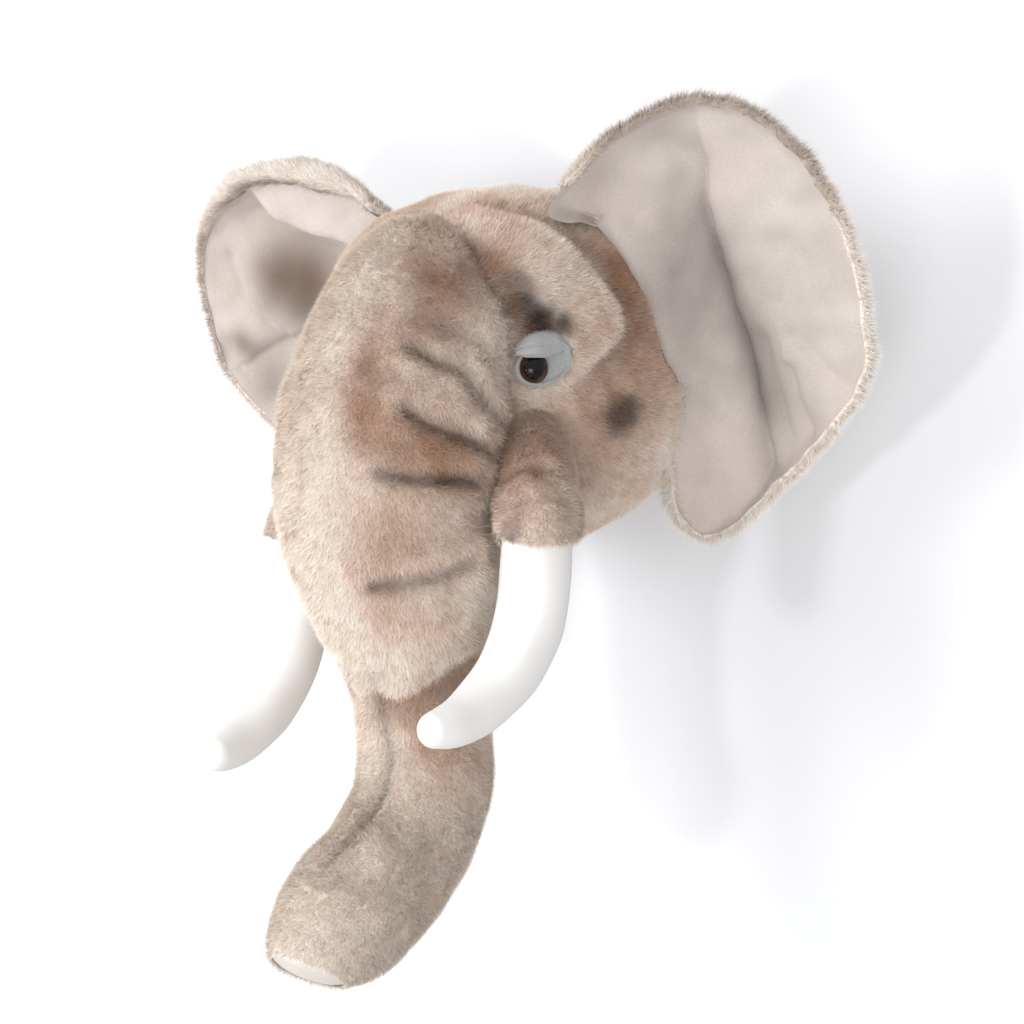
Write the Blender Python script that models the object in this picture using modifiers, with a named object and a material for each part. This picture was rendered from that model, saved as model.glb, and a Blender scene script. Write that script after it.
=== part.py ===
"""Stuffed elephant head for a wall.

Plush skins over fibre filling on an oval board. The wall is the plane y = 0, the head stands out
from it towards -Y, +X is the elephant's left and +Z is up. All sizes are metres.
"""

import math

import bmesh
import bpy
import numpy as np
from mathutils import Matrix, Vector

# Cloth and fits
GAP = 0.0003
PLUSH = 0.006
ROOT_CLEARANCE = 0.0008

# Back: felt cover, board and the toothed hanger with its two nails
FELT_THICKNESS = 0.003
BOARD_THICKNESS = 0.009
HANGER_WIDTH = 0.046
HANGER_HEIGHT = 0.009
HANGER_THICKNESS = 0.0012
HANGER_LEVEL = 0.045
TOOTH_COUNT = 9
TOOTH_DEPTH = 0.0022
WINDOW_MARGIN = 0.004
NAIL_INSET = 0.004
NAIL_RADIUS = 0.0008
NAIL_HEAD_RADIUS = 0.0022
NAIL_HEAD_HEIGHT = 0.0009
NAIL_LENGTH = 0.008

# Head: depth from the wall, half width, half height and height of the middle
HEAD_STATIONS = [
    (0.016, 0.0760, 0.0780, 0.000),
    (0.036, 0.0860, 0.0860, -0.002),
    (0.066, 0.0935, 0.0930, -0.007),
    (0.105, 0.0975, 0.0980, -0.013),
    (0.140, 0.0955, 0.0970, -0.013),
    (0.170, 0.0870, 0.0900, -0.012),
    (0.195, 0.0745, 0.0790, -0.011),
    (0.213, 0.0590, 0.0640, -0.010),
    (0.227, 0.0400, 0.0450, -0.009),
    (0.236, 0.0190, 0.0220, -0.009),
]
HEAD_SQUARENESS = 2.3
HEAD_SIDES = 20

# Forehead, face and trunk: depth from the wall, height and radius along the middle
SNOUT_STATIONS = [
    (0.1830, 0.0620, 0.0100),
    (0.1920, 0.0530, 0.0310),
    (0.2070, 0.0380, 0.0430),
    (0.2200, 0.0140, 0.0520),
    (0.2330, -0.0140, 0.0565),
    (0.2400, -0.0450, 0.0585),
    (0.2430, -0.0760, 0.0575),
    (0.2410, -0.1060, 0.0540),
    (0.2330, -0.1330, 0.0480),
    (0.2230, -0.1560, 0.0410),
    (0.2140, -0.1780, 0.0375),
    (0.2070, -0.2000, 0.0365),
    (0.2065, -0.2210, 0.0365),
    (0.2130, -0.2420, 0.0365),
    (0.2270, -0.2595, 0.0365),
    (0.2470, -0.2725, 0.0365),
    (0.2700, -0.2835, 0.0360),
    (0.2890, -0.2940, 0.0330),
    (0.3010, -0.3020, 0.0270),
    (0.3080, -0.3080, 0.0210),
]
SNOUT_SIDES = 16
FACE_END = 12
FACE_HOLLOW_START = 0.30
FACE_CORE_START = 0.35
TRUNK_START = 6
TIP_PAD_THICKNESS = 0.004
TRUNK_AXIS_DEPTH = 0.227
TRUNK_AXIS_HEIGHT = -0.158
KNUCKLE_RADIUS = 0.0485

# Tusks: side, depth, height and radius along the middle, from the pivot to the tip
TUSK_STATIONS = [
    (0.0830, 0.2290, -0.0980, 0.0172),
    (0.0805, 0.2270, -0.1130, 0.0176),
    (0.0790, 0.2265, -0.1280, 0.0178),
    (0.0770, 0.2290, -0.1430, 0.0178),
    (0.0745, 0.2380, -0.1590, 0.0166),
    (0.0715, 0.2530, -0.1725, 0.0147),
    (0.0690, 0.2720, -0.1815, 0.0127),
    (0.0670, 0.2880, -0.1850, 0.0104),
    (0.0655, 0.2960, -0.1855, 0.0080),
    (0.0645, 0.3010, -0.1850, 0.0045),
]
TUSK_SIDES = 10
TUSK_ROOT_ANGLES = (78.0, 50.0, 24.0)
TUSK_CLOTH = 0.0015
TUSK_SWING = math.radians(8.0)
SLEEVE_TOP = (0.0690, 0.2000, -0.0540)
SLEEVE_TOP_RADIUS = 0.0240
SLEEVE_RIM_RADIUS = 0.0275
SLEEVE_LIP = 0.0030
SLEEVE_SIDES = 14
CUP_SIDES = 16

# The right tusk is sewn on closer in, further back and lower than the left one, and splays outward
RIGHT_ROOT_SHIFT = (-0.012, -0.012, -0.010)
RIGHT_TIP_SHIFT = (0.006, -0.004, -0.025)

# Eyes with their stems, washers, felt lids and the padded brows
EYE_DEPTH = 0.205
EYE_LEVEL = -0.014
EYE_RADIUS = 0.0080
EYE_DOME = 0.0070
STEM_RADIUS = 0.0020
WASHER_RADIUS = 0.0090
WASHER_THICKNESS = 0.0015
STEM_END = 0.0020
LID_HALF_LENGTH = 0.0165
LID_HALF_WIDTH = 0.0140
LID_HEIGHT = 0.0060
LID_OFFSET = 0.0045
BROW_DEPTH = 0.180
BROW_LEVEL = 0.024
BROW_HALF_LENGTH = 0.030
BROW_HALF_WIDTH = 0.015
BROW_HEIGHT = 0.009
BROW_TURN = math.radians(-50.0)

# Ears: a leaning plane, the outer outline in it (side, height) and the layers
EAR_DEPTH = 0.126
EAR_MIDDLE = 0.010
EAR_LEAN = math.radians(20.0)
EAR_ROOT_TOP = 0.062
EAR_ROOT_BOTTOM = -0.042
EAR_OUTLINE = [
    (0.062, 0.082),
    (0.094, 0.105),
    (0.140, 0.118),
    (0.180, 0.103),
    (0.208, 0.062),
    (0.218, 0.003),
    (0.207, -0.042),
    (0.165, -0.084),
    (0.114, -0.126),
    (0.089, -0.125),
    (0.084, -0.092),
]
RIGHT_EAR_ROLL_LINE = 0.040
RIGHT_EAR_ROLL_SHARE = 0.72
EAR_ROWS = 13
EAR_COLUMNS = 7
EAR_OPEN_SHARE = 0.90
# A fold is pressed into each ear: down the middle of the left one, and under the right one's rolled top
EAR_FOLDS = {
    "left": [(0.126, 0.080), (0.125, 0.035), (0.133, -0.025), (0.137, -0.089)],
    "right": [(0.161, 0.079), (0.147, 0.059), (0.099, 0.043)],
}
EAR_FOLD_DEPTH = 0.020
EAR_FOLD_REACH = 0.045
EAR_FOLD_COLUMN = 2
EAR_WADDING = 0.003
EAR_LINING = 0.002
EAR_RIM = 0.35
HEM_RADIUS = 0.004
HEM_SIDES = 7

LEFT = 1
RIGHT = -1
SIDE_NAMES = {LEFT: "left", RIGHT: "right"}


def clear_scene():
    for old in list(bpy.data.objects):
        bpy.data.objects.remove(old, do_unlink=True)


def new_collection(name):
    group = bpy.data.collections.new(name)
    bpy.context.scene.collection.children.link(group)
    return group


def material(name, colour, roughness, metallic=0.0):
    made = bpy.data.materials.new(name)
    made.use_nodes = True
    shader = made.node_tree.nodes["Principled BSDF"]
    shader.inputs["Base Color"].default_value = (*colour, 1.0)
    shader.inputs["Roughness"].default_value = roughness
    shader.inputs["Metallic"].default_value = metallic
    return made


clear_scene()
PARTS = new_collection("stuffed_elephant_head")
CUTTERS = new_collection("cutters")
FUR = material("fawn_plush", (0.42, 0.31, 0.24), 0.95)
FILLING = material("polyester_filling", (0.88, 0.87, 0.84), 1.0)
SUEDE = material("taupe_suede", (0.46, 0.38, 0.34), 0.9)
VELOUR = material("white_velour", (0.86, 0.86, 0.86), 0.85)
FELT_GREY = material("grey_felt", (0.45, 0.48, 0.50), 0.95)
FELT_BACK = material("brown_felt", (0.20, 0.16, 0.13), 0.95)
PAD = material("pale_suede", (0.60, 0.57, 0.55), 0.9)
EYE_PLASTIC = material("brown_eye_plastic", (0.03, 0.015, 0.01), 0.08)
WASHER_PLASTIC = material("white_plastic", (0.80, 0.80, 0.78), 0.4)
BOARD_WOOD = material("fibreboard", (0.38, 0.26, 0.16), 0.7)
STEEL = material("zinc_plated_steel", (0.55, 0.55, 0.56), 0.35, 1.0)


def add_object(name, mesh, finish):
    """A finished piece, or a wire-drawn cutter where no finish is given."""
    made = bpy.data.objects.new(name, mesh)
    if finish is None:
        CUTTERS.objects.link(made)
        made.hide_render = True
        made.display_type = "WIRE"
    else:
        PARTS.objects.link(made)
        mesh.materials.clear()
        mesh.materials.append(finish)
        mesh.shade_smooth()
        mesh.set_sharp_from_angle(angle=math.radians(50.0))
    return made


def mesh_from(name, shape):
    """Turn a bmesh into a closed mesh with its faces pointing out and its twisted quads split."""
    quads = [face for face in shape.faces if len(face.verts) == 4]
    bmesh.ops.triangulate(shape, faces=quads, quad_method="SHORT_EDGE")
    bmesh.ops.recalc_face_normals(shape, faces=shape.faces[:])
    if shape.calc_volume(signed=True) < 0:
        bmesh.ops.reverse_faces(shape, faces=shape.faces[:])
    mesh = bpy.data.meshes.new(name)
    shape.to_mesh(mesh)
    shape.free()
    return mesh


def loft(name, rings, finish=None, flattened=False):
    """Skin a stack of rings of equal count and close both ends.

    A round ring gets one flat cap, and a flattened ring a ladder of faces between its two sides,
    which are split along the same diagonals so that sheets can lie close on each other.
    """
    shape = bmesh.new()
    rows = [[shape.verts.new(point) for point in ring] for ring in rings]
    sides = len(rows[0])
    for lower, upper in zip(rows, rows[1:]):
        for k in range(sides):
            after = (k + 1) % sides
            corners = [lower[k], lower[after], upper[after], upper[k]]
            if not flattened:
                shape.faces.new(corners)
                continue
            first = 0 if k < sides // 2 else 1
            turned_round = corners[first:] + corners[:first]
            shape.faces.new(turned_round[:3])
            shape.faces.new(turned_round[2:] + turned_round[:1])
    for end in (rows[0], rows[-1]):
        if flattened:
            for k in range(sides // 2 - 1):
                shape.faces.new((end[k], end[k + 1], end[sides - 2 - k], end[sides - 1 - k]))
        else:
            shape.faces.new(end)
    return add_object(name, mesh_from(name, shape), finish)


def prism(name, outline, half_width):
    """Extrude a flat outline of (depth, height) points across X to both sides."""
    rings = [[(x, -depth, z) for depth, z in outline] for x in (-half_width, half_width)]
    return loft(name, rings)


def panel(name, outlines, back, front, finish=None):
    """A flat sheet facing the wall: 2D outlines, the later ones holes, between two depths."""
    curve = bpy.data.curves.new(name, "CURVE")
    curve.dimensions = "2D"
    curve.fill_mode = "BOTH"
    curve.extrude = (front - back) / 2
    for outline in outlines:
        spline = curve.splines.new("POLY")
        spline.points.add(len(outline) - 1)
        for point, (x, z) in zip(spline.points, outline):
            point.co = (x, z, 0.0, 1.0)
        spline.use_cyclic_u = True
    drawn = bpy.data.objects.new(name + "_outline", curve)
    PARTS.objects.link(drawn)
    depsgraph = bpy.context.evaluated_depsgraph_get()
    mesh = bpy.data.meshes.new_from_object(drawn.evaluated_get(depsgraph))
    bpy.data.objects.remove(drawn, do_unlink=True)
    shape = bmesh.new()
    shape.from_mesh(mesh)
    bpy.data.meshes.remove(mesh)
    bmesh.ops.remove_doubles(shape, verts=shape.verts[:], dist=0.00001)
    place = Matrix.Translation((0.0, -(back + front) / 2, 0.0)) @ Matrix.Rotation(math.pi / 2, 4, "X")
    bmesh.ops.transform(shape, matrix=place, verts=shape.verts[:])
    return add_object(name, mesh_from(name, shape), finish)


def turned(name, profile, place, finish=None, steps=14, closed=False):
    """Turn a profile of (radius, height) points about Z, then set it in its place."""
    shape = bmesh.new()
    verts = [shape.verts.new((radius, 0.0, height)) for radius, height in profile]
    for first, second in zip(verts, verts[1:]):
        shape.edges.new((first, second))
    if closed:
        shape.edges.new((verts[-1], verts[0]))
    mesh = bpy.data.meshes.new(name)
    shape.to_mesh(mesh)
    shape.free()
    made = add_object(name, mesh, finish)
    made.matrix_world = place
    screw = made.modifiers.new("turn", "SCREW")
    screw.axis = "Z"
    screw.steps = steps
    screw.render_steps = steps
    screw.use_merge_vertices = True
    screw.merge_threshold = 0.00001
    screw.use_smooth_shade = True
    return made


def squashed_ball(name, place, sizes, finish=None, rings=8, sides=14):
    """A ball drawn out to three half sizes and set in its place."""
    shape = bmesh.new()
    bmesh.ops.create_uvsphere(shape, u_segments=sides, v_segments=rings, radius=1.0)
    scale = Matrix.Diagonal((*sizes, 1.0))
    bmesh.ops.transform(shape, matrix=place @ scale, verts=shape.verts[:])
    return add_object(name, mesh_from(name, shape), finish)


def boolean(piece, other, operation="DIFFERENCE"):
    step = piece.modifiers.new(other.name, "BOOLEAN")
    step.operation = operation
    step.object = other
    step.solver = "EXACT"


def oval(half_width, half_height, sides=48):
    turns = [2 * math.pi * k / sides for k in range(sides)]
    return [(half_width * math.cos(a), half_height * math.sin(a)) for a in turns]


def rectangle(half_width, low, high):
    return [(-half_width, low), (half_width, low), (half_width, high), (-half_width, high)]


def pivot(name, place, pieces):
    """An empty on a joint axis that carries the pieces which move about it."""
    empty = bpy.data.objects.new(name, None)
    PARTS.objects.link(empty)
    empty.location = place
    inverse = Matrix.Translation(place).inverted()
    for piece in pieces:
        piece.parent = empty
        piece.matrix_parent_inverse = inverse


# Head form

def head_section(depth):
    """Half width, half height and middle height of the head at a depth from the wall."""
    table = np.array(HEAD_STATIONS)
    return [float(np.interp(depth, table[:, 0], table[:, k])) for k in (1, 2, 3)]


def head_ring(depth, grow):
    half_width, half_height, middle = head_section(depth)
    turns = np.linspace(0.0, 2 * math.pi, HEAD_SIDES, endpoint=False)
    power = 2 / HEAD_SQUARENESS
    across = np.sign(np.cos(turns)) * np.abs(np.cos(turns)) ** power
    up = np.sign(np.sin(turns)) * np.abs(np.sin(turns)) ** power
    x = (half_width + grow) * across
    z = middle + (half_height + grow) * up
    return np.stack([x, np.full_like(x, -depth), z], axis=1)


def head_form(name, grow, back, finish=None):
    """The head between a depth at its back and its front, grown or shrunk by an offset."""
    depths = [back] + [station[0] for station in HEAD_STATIONS if station[0] > back]
    rings = [head_ring(depth, grow) for depth in depths]
    rings[-1][:, 1] -= grow
    return loft(name, rings, finish)


def head_point(depth, level):
    """The point of the left side of the head at a depth and a height."""
    half_width, half_height, middle = head_section(depth)
    share = abs((level - middle) / half_height) ** HEAD_SQUARENESS
    return Vector((half_width * max(0.0, 1 - share) ** (1 / HEAD_SQUARENESS), -depth, level))


def head_place(side, depth, level, turn=0.0):
    """A frame on the head: Z points out of the skin and X runs back along it, turned by an angle."""
    step = 0.004
    along = head_point(depth - step, level) - head_point(depth + step, level)
    upward = head_point(depth, level + step) - head_point(depth, level - step)
    point = head_point(depth, level)
    outward = along.cross(upward).normalized()
    if outward.x < 0:
        outward.negate()
    mirror = Vector((side, 1.0, 1.0))
    point, along, outward = (v * mirror for v in (point, along, outward))
    along.normalize()
    across = outward.cross(along)
    frame = Matrix((along, across, outward)).transposed().to_4x4()
    return Matrix.Translation(point) @ frame @ Matrix.Rotation(side * turn, 4, "Z")


# Forehead, face and trunk form

def snout_ring(station, grow):
    """A round section square to the middle line, at a whole or part station."""
    table = np.array(SNOUT_STATIONS)
    count = np.arange(len(table))
    heading = np.gradient(table[:, :2], axis=0)
    depth, z, radius = (np.interp(station, count, table[:, k]) for k in range(3))
    run, rise = (np.interp(station, count, heading[:, k]) for k in range(2))
    length = math.hypot(run, rise)
    turns = np.linspace(0.0, 2 * math.pi, SNOUT_SIDES, endpoint=False)
    out = (radius + grow) * np.cos(turns)
    x = (radius + grow) * np.sin(turns)
    y = -(depth + out * -rise / length)
    return np.stack([x, y, z + out * run / length], axis=1)


def snout_form(name, grow, first, last, finish=None, reach=0.0):
    """The snout between two stations, with its last ring pushed on by a reach."""
    whole = range(math.floor(first) + 1, math.ceil(last))
    rings = [snout_ring(station, grow) for station in [first, *whole, last]]
    if reach:
        heading = rings[-1].mean(axis=0) - rings[-2].mean(axis=0)
        rings.append(rings[-1] + reach * heading / np.linalg.norm(heading))
    return loft(name, rings, finish)


def knuckle_outline(radius, upward):
    """Everything above the knuckle, or everything below it and the knuckle, as (depth, height)."""
    wide = 3 * KNUCKLE_RADIUS
    tall = 5 * KNUCKLE_RADIUS if upward else -5 * KNUCKLE_RADIUS
    turns = np.linspace(0.0, math.pi, 25)
    depth, level = TRUNK_AXIS_DEPTH, TRUNK_AXIS_HEIGHT
    arc = [(depth + radius * math.cos(a), level + radius * math.sin(a)) for a in turns]
    ends = [(depth - wide, level), (depth - wide, level + tall)]
    return arc + ends + [(depth + wide, level + tall), (depth + wide, level)]


# Back of the head: felt, board, hanger and nails

BOARD_BACK = FELT_THICKNESS + GAP
BOARD_FRONT = BOARD_BACK + BOARD_THICKNESS
RIM_WIDTH, RIM_HEIGHT, _ = head_section(0.0)
NAIL_SPACING = HANGER_WIDTH - 2 * NAIL_INSET
NAIL_PLACES = (-NAIL_SPACING / 2, NAIL_SPACING / 2)

window = rectangle(
    HANGER_WIDTH / 2 + WINDOW_MARGIN,
    HANGER_LEVEL - HANGER_HEIGHT / 2 - TOOTH_DEPTH - WINDOW_MARGIN,
    HANGER_LEVEL + HANGER_HEIGHT / 2 + WINDOW_MARGIN,
)
panel("back_felt", [oval(RIM_WIDTH, RIM_HEIGHT), window], 0.0, FELT_THICKNESS, FELT_BACK)
board_oval = oval(RIM_WIDTH - PLUSH - 2 * GAP, RIM_HEIGHT - PLUSH - 2 * GAP)
board = panel("back_board", [board_oval], BOARD_BACK, BOARD_FRONT, BOARD_WOOD)

teeth = []
pitch = (NAIL_SPACING - 4 * NAIL_HEAD_RADIUS) / TOOTH_COUNT
for k in range(TOOTH_COUNT):
    left_end = (k - TOOTH_COUNT / 2) * pitch
    teeth.append((left_end, HANGER_LEVEL - HANGER_HEIGHT / 2))
    teeth.append((left_end + pitch / 2, HANGER_LEVEL - HANGER_HEIGHT / 2 - TOOTH_DEPTH))
teeth.append((TOOTH_COUNT / 2 * pitch, HANGER_LEVEL - HANGER_HEIGHT / 2))
top_edge = HANGER_LEVEL + HANGER_HEIGHT / 2
low_edge = HANGER_LEVEL - HANGER_HEIGHT / 2
strip = [(-HANGER_WIDTH / 2, low_edge), *teeth, (HANGER_WIDTH / 2, low_edge)]
strip += [(HANGER_WIDTH / 2, top_edge), (-HANGER_WIDTH / 2, top_edge)]
nail_round = oval(NAIL_RADIUS + GAP, NAIL_RADIUS + GAP, 12)
nail_holes = [[(x + a, HANGER_LEVEL + b) for a, b in nail_round] for x in NAIL_PLACES]
hanger_front = BOARD_BACK - GAP
panel("sawtooth_hanger", [strip, *nail_holes], hanger_front - HANGER_THICKNESS, hanger_front, STEEL)

nail_head_base = hanger_front - HANGER_THICKNESS - GAP
for side, x in zip((RIGHT, LEFT), NAIL_PLACES):
    nail_profile = [
        (0.0, NAIL_HEAD_HEIGHT),
        (NAIL_HEAD_RADIUS, NAIL_HEAD_HEIGHT),
        (NAIL_HEAD_RADIUS, 0.0),
        (NAIL_RADIUS, 0.0),
        (NAIL_RADIUS, -0.8 * NAIL_LENGTH),
        (0.0, -NAIL_LENGTH),
    ]
    nail_turn = Matrix.Rotation(-math.pi / 2, 4, "X")
    nail_place = Matrix.Translation((x, -nail_head_base, HANGER_LEVEL)) @ nail_turn
    turned("hanger_nail_" + SIDE_NAMES[side], nail_profile, nail_place, STEEL, steps=12)
    hole_profile = [
        (0.0, NAIL_HEAD_HEIGHT),
        (NAIL_RADIUS + GAP, NAIL_HEAD_HEIGHT),
        (NAIL_RADIUS + GAP, -NAIL_LENGTH - GAP),
        (0.0, -NAIL_LENGTH - GAP),
    ]
    hole = turned("nail_hole_" + SIDE_NAMES[side], hole_profile, nail_place, steps=12)
    boolean(board, hole)


# Head and face skins over one filling

SKIN_BACK = FELT_THICKNESS + GAP
head_bulk = head_form("head_bulk", GAP, SKIN_BACK)
head_hollow = head_form("head_hollow", -PLUSH, -PLUSH)
face_bulk = snout_form("face_bulk", GAP, 0, FACE_END)
face_hollow = snout_form("face_hollow", -PLUSH, FACE_HOLLOW_START, FACE_END, reach=PLUSH)
below_knuckle = prism("below_knuckle", knuckle_outline(KNUCKLE_RADIUS + GAP, False), 2 * KNUCKLE_RADIUS)
above_knuckle = prism("above_knuckle", knuckle_outline(KNUCKLE_RADIUS, True), 2 * KNUCKLE_RADIUS)

head_skin = head_form("head_skin", 0.0, SKIN_BACK, FUR)
boolean(head_skin, head_hollow)
boolean(head_skin, face_bulk)

face_skin = snout_form("face_skin", 0.0, 0, FACE_END, FUR)
boolean(face_skin, face_hollow)
boolean(face_skin, head_bulk)
boolean(face_skin, below_knuckle)

filling_inset = -(PLUSH + GAP)
face_core = snout_form("face_core", filling_inset, FACE_CORE_START, FACE_END)
head_filling = head_form("head_filling", filling_inset, BOARD_FRONT + GAP, FILLING)
boolean(head_filling, face_core, "UNION")
boolean(head_filling, below_knuckle)

# Trunk: plush tube, filling and the pad that closes its tip

TIP = len(SNOUT_STATIONS) - 1
tip_run = np.diff(np.array(SNOUT_STATIONS)[-2:, :2], axis=0)
PAD_START = TIP - TIP_PAD_THICKNESS / float(np.linalg.norm(tip_run))
PAD_SEAT = TIP - (TIP_PAD_THICKNESS + GAP) / float(np.linalg.norm(tip_run))

trunk_hollow = snout_form("trunk_hollow", -PLUSH, TRUNK_START - 0.5, TIP, reach=PLUSH)
trunk_skin = snout_form("trunk_skin", 0.0, TRUNK_START, TIP, FUR)
boolean(trunk_skin, trunk_hollow)
boolean(trunk_skin, above_knuckle)
trunk_filling = snout_form("trunk_filling", filling_inset, TRUNK_START, PAD_SEAT, FILLING)
boolean(trunk_filling, above_knuckle)
trunk_tip_pad = snout_form("trunk_tip_pad", filling_inset, PAD_START, TIP, PAD)
trunk_place = (0.0, -TRUNK_AXIS_DEPTH, TRUNK_AXIS_HEIGHT)
pivot("trunk_pivot", trunk_place, [trunk_skin, trunk_filling, trunk_tip_pad])


# Tusks and the plush sleeves that hold them

def tusk_line(side):
    """Middle points and radii of one tusk, from its pivot to its tip.

    The right one's shift passes from its root's to its tip's, fastest at the root.
    """
    table = np.array(TUSK_STATIONS)
    points = table[:, :3]
    if side == RIGHT:
        share = 1 - np.linspace(1.0, 0.0, len(table))[:, None] ** 2
        points = points + (1 - share) * np.array(RIGHT_ROOT_SHIFT) + share * np.array(RIGHT_TIP_SHIFT)
    return points * np.array([side, -1.0, 1.0]), table[:, 3]


def ring_about(point, ahead, radius, sides):
    """A round section square to a heading."""
    aside = np.cross(ahead, (1.0, 0.0, 0.0))
    aside /= np.linalg.norm(aside)
    third = np.cross(ahead, aside) / np.linalg.norm(ahead)
    turns = np.linspace(0.0, 2 * math.pi, sides, endpoint=False)
    return point + radius * (np.outer(np.cos(turns), aside) + np.outer(np.sin(turns), third))


def tusk_rings(side, inset, cut=0.0):
    """A round root about the pivot, then round sections along the middle line to the tip."""
    middle, radii = tusk_line(side)
    heading = np.gradient(middle, axis=0)
    heading /= np.linalg.norm(heading, axis=1)[:, None]
    first = radii[0] - inset
    rings = []
    for angle in np.radians(TUSK_ROOT_ANGLES):
        back = middle[0] - heading[0] * first * math.sin(angle)
        rings.append(ring_about(back, heading[0], first * math.cos(angle), TUSK_SIDES))
    for point, ahead, radius in zip(middle, heading, radii):
        if radius > inset + cut:
            rings.append(ring_about(point, ahead, radius - inset, TUSK_SIDES))
    return rings


def sleeve_rings(top, rim, ahead):
    """A domed top on the cheek that widens down to the lip round the tusk."""
    down = (rim - top) / np.linalg.norm(rim - top)
    half_radius = (SLEEVE_TOP_RADIUS + SLEEVE_RIM_RADIUS) / 2
    sections = [
        (top - 0.7 * SLEEVE_TOP_RADIUS * down, down, 0.6 * SLEEVE_TOP_RADIUS),
        (top, down, SLEEVE_TOP_RADIUS),
        ((top + rim) / 2, down, half_radius),
        (rim - SLEEVE_LIP * ahead, ahead, SLEEVE_RIM_RADIUS),
        (rim, ahead, SLEEVE_RIM_RADIUS - SLEEVE_LIP),
    ]
    return [ring_about(point, heading, radius, SLEEVE_SIDES) for point, heading, radius in sections]


for side in (LEFT, RIGHT):
    name = SIDE_NAMES[side]
    line, radii = tusk_line(side)
    root, root_radius = line[0], float(radii[0])
    ahead = (line[1] - root) / np.linalg.norm(line[1] - root)
    tusk_skin = loft("tusk_skin_" + name, tusk_rings(side, 0.0), VELOUR)
    core_rings = tusk_rings(side, TUSK_CLOTH, TUSK_CLOTH)
    mouth = core_rings[0] - ahead * root_radius
    boolean(tusk_skin, loft("tusk_hollow_" + name, [mouth, *core_rings]))
    tusk_filling = loft("tusk_filling_" + name, tusk_rings(side, TUSK_CLOTH + GAP, TUSK_CLOTH), FILLING)
    pivot("tusk_pivot_" + name, tuple(root), [tusk_skin, tusk_filling])

    top = np.array(SLEEVE_TOP)
    if side == RIGHT:
        top = top + np.array(RIGHT_ROOT_SHIFT)
    top = top * np.array([side, -1.0, 1.0])
    rim = root - ahead * (root_radius * math.sin(TUSK_SWING) + GAP)
    sleeve = loft("tusk_sleeve_" + name, sleeve_rings(top, rim, ahead), FUR)
    cup_radius = (root_radius + GAP) / math.cos(math.pi / CUP_SIDES) ** 2
    cup = squashed_ball("tusk_cup_" + name, Matrix.Translation(root), (cup_radius,) * 3,
                        rings=CUP_SIDES // 2, sides=CUP_SIDES)
    boolean(sleeve, head_bulk)
    boolean(sleeve, face_bulk)
    boolean(sleeve, cup)


# Eyes, washers, lids and brows

for side in (LEFT, RIGHT):
    name = SIDE_NAMES[side]
    place = head_place(side, EYE_DEPTH, EYE_LEVEL) @ Matrix.Translation((0.0, 0.0, GAP))
    washer_top = -(GAP + PLUSH + GAP)
    stem_bottom = washer_top - WASHER_THICKNESS - STEM_END
    turns = np.linspace(math.pi / 2, 0.0, 6)
    dome = [(EYE_RADIUS * math.cos(a), EYE_DOME * math.sin(a)) for a in turns]
    dome[0] = (0.0, EYE_DOME)
    stem = [(STEM_RADIUS, 0.0), (STEM_RADIUS, stem_bottom), (0.0, stem_bottom)]
    turned("eye_" + name, dome + stem, place, EYE_PLASTIC)
    ring = [
        (STEM_RADIUS + GAP, washer_top),
        (WASHER_RADIUS, washer_top),
        (WASHER_RADIUS, washer_top - WASHER_THICKNESS),
        (STEM_RADIUS + GAP, washer_top - WASHER_THICKNESS),
    ]
    turned("eye_washer_" + name, ring, place, WASHER_PLASTIC, closed=True)
    pocket = [
        (0.0, EYE_DOME + GAP),
        (EYE_RADIUS + GAP, EYE_DOME + GAP),
        (EYE_RADIUS + GAP, -GAP),
        (STEM_RADIUS + GAP, -GAP),
        (STEM_RADIUS + GAP, washer_top),
        (WASHER_RADIUS + GAP, washer_top),
        (WASHER_RADIUS + GAP, stem_bottom - GAP),
        (0.0, stem_bottom - GAP),
    ]
    room = turned("eye_pocket_" + name, pocket, place)
    hole_profile = [
        (0.0, LID_HEIGHT),
        (STEM_RADIUS + GAP, LID_HEIGHT),
        (STEM_RADIUS + GAP, stem_bottom),
        (0.0, stem_bottom),
    ]
    stem_hole = turned("stem_hole_" + name, hole_profile, place)
    boolean(head_skin, stem_hole)
    boolean(head_filling, room)

    lid_place = place @ Matrix.Translation((LID_OFFSET, side * LID_OFFSET, 0.0))
    lid = squashed_ball(
        "eyelid_" + name, lid_place, (LID_HALF_LENGTH, LID_HALF_WIDTH, LID_HEIGHT), FELT_GREY
    )
    boolean(lid, head_bulk)
    eye_room = [
        (0.0, 2 * LID_HEIGHT),
        (EYE_RADIUS + GAP, 2 * LID_HEIGHT),
        (EYE_RADIUS + GAP, -2 * LID_HEIGHT),
        (0.0, -2 * LID_HEIGHT),
    ]
    boolean(lid, turned("eye_room_" + name, eye_room, place))

    brow_place = head_place(side, BROW_DEPTH, BROW_LEVEL, BROW_TURN)
    brow = squashed_ball(
        "brow_" + name, brow_place, (BROW_HALF_LENGTH, BROW_HALF_WIDTH, BROW_HEIGHT), FUR
    )
    boolean(brow, head_bulk)


# Ears: a rolled hem on the head, and plush back, wadding and lining beyond it

def ear_world(side, x, height, forward=0.0):
    """A point of the leaning ear plane, moved forward along the plane's normal."""
    lean_sine, lean_cosine = math.sin(EAR_LEAN), math.cos(EAR_LEAN)
    y = -EAR_DEPTH - height * lean_sine - forward * lean_cosine
    z = EAR_MIDDLE + height * lean_cosine - forward * lean_sine
    return np.stack([side * x, y, z], axis=-1)


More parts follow.
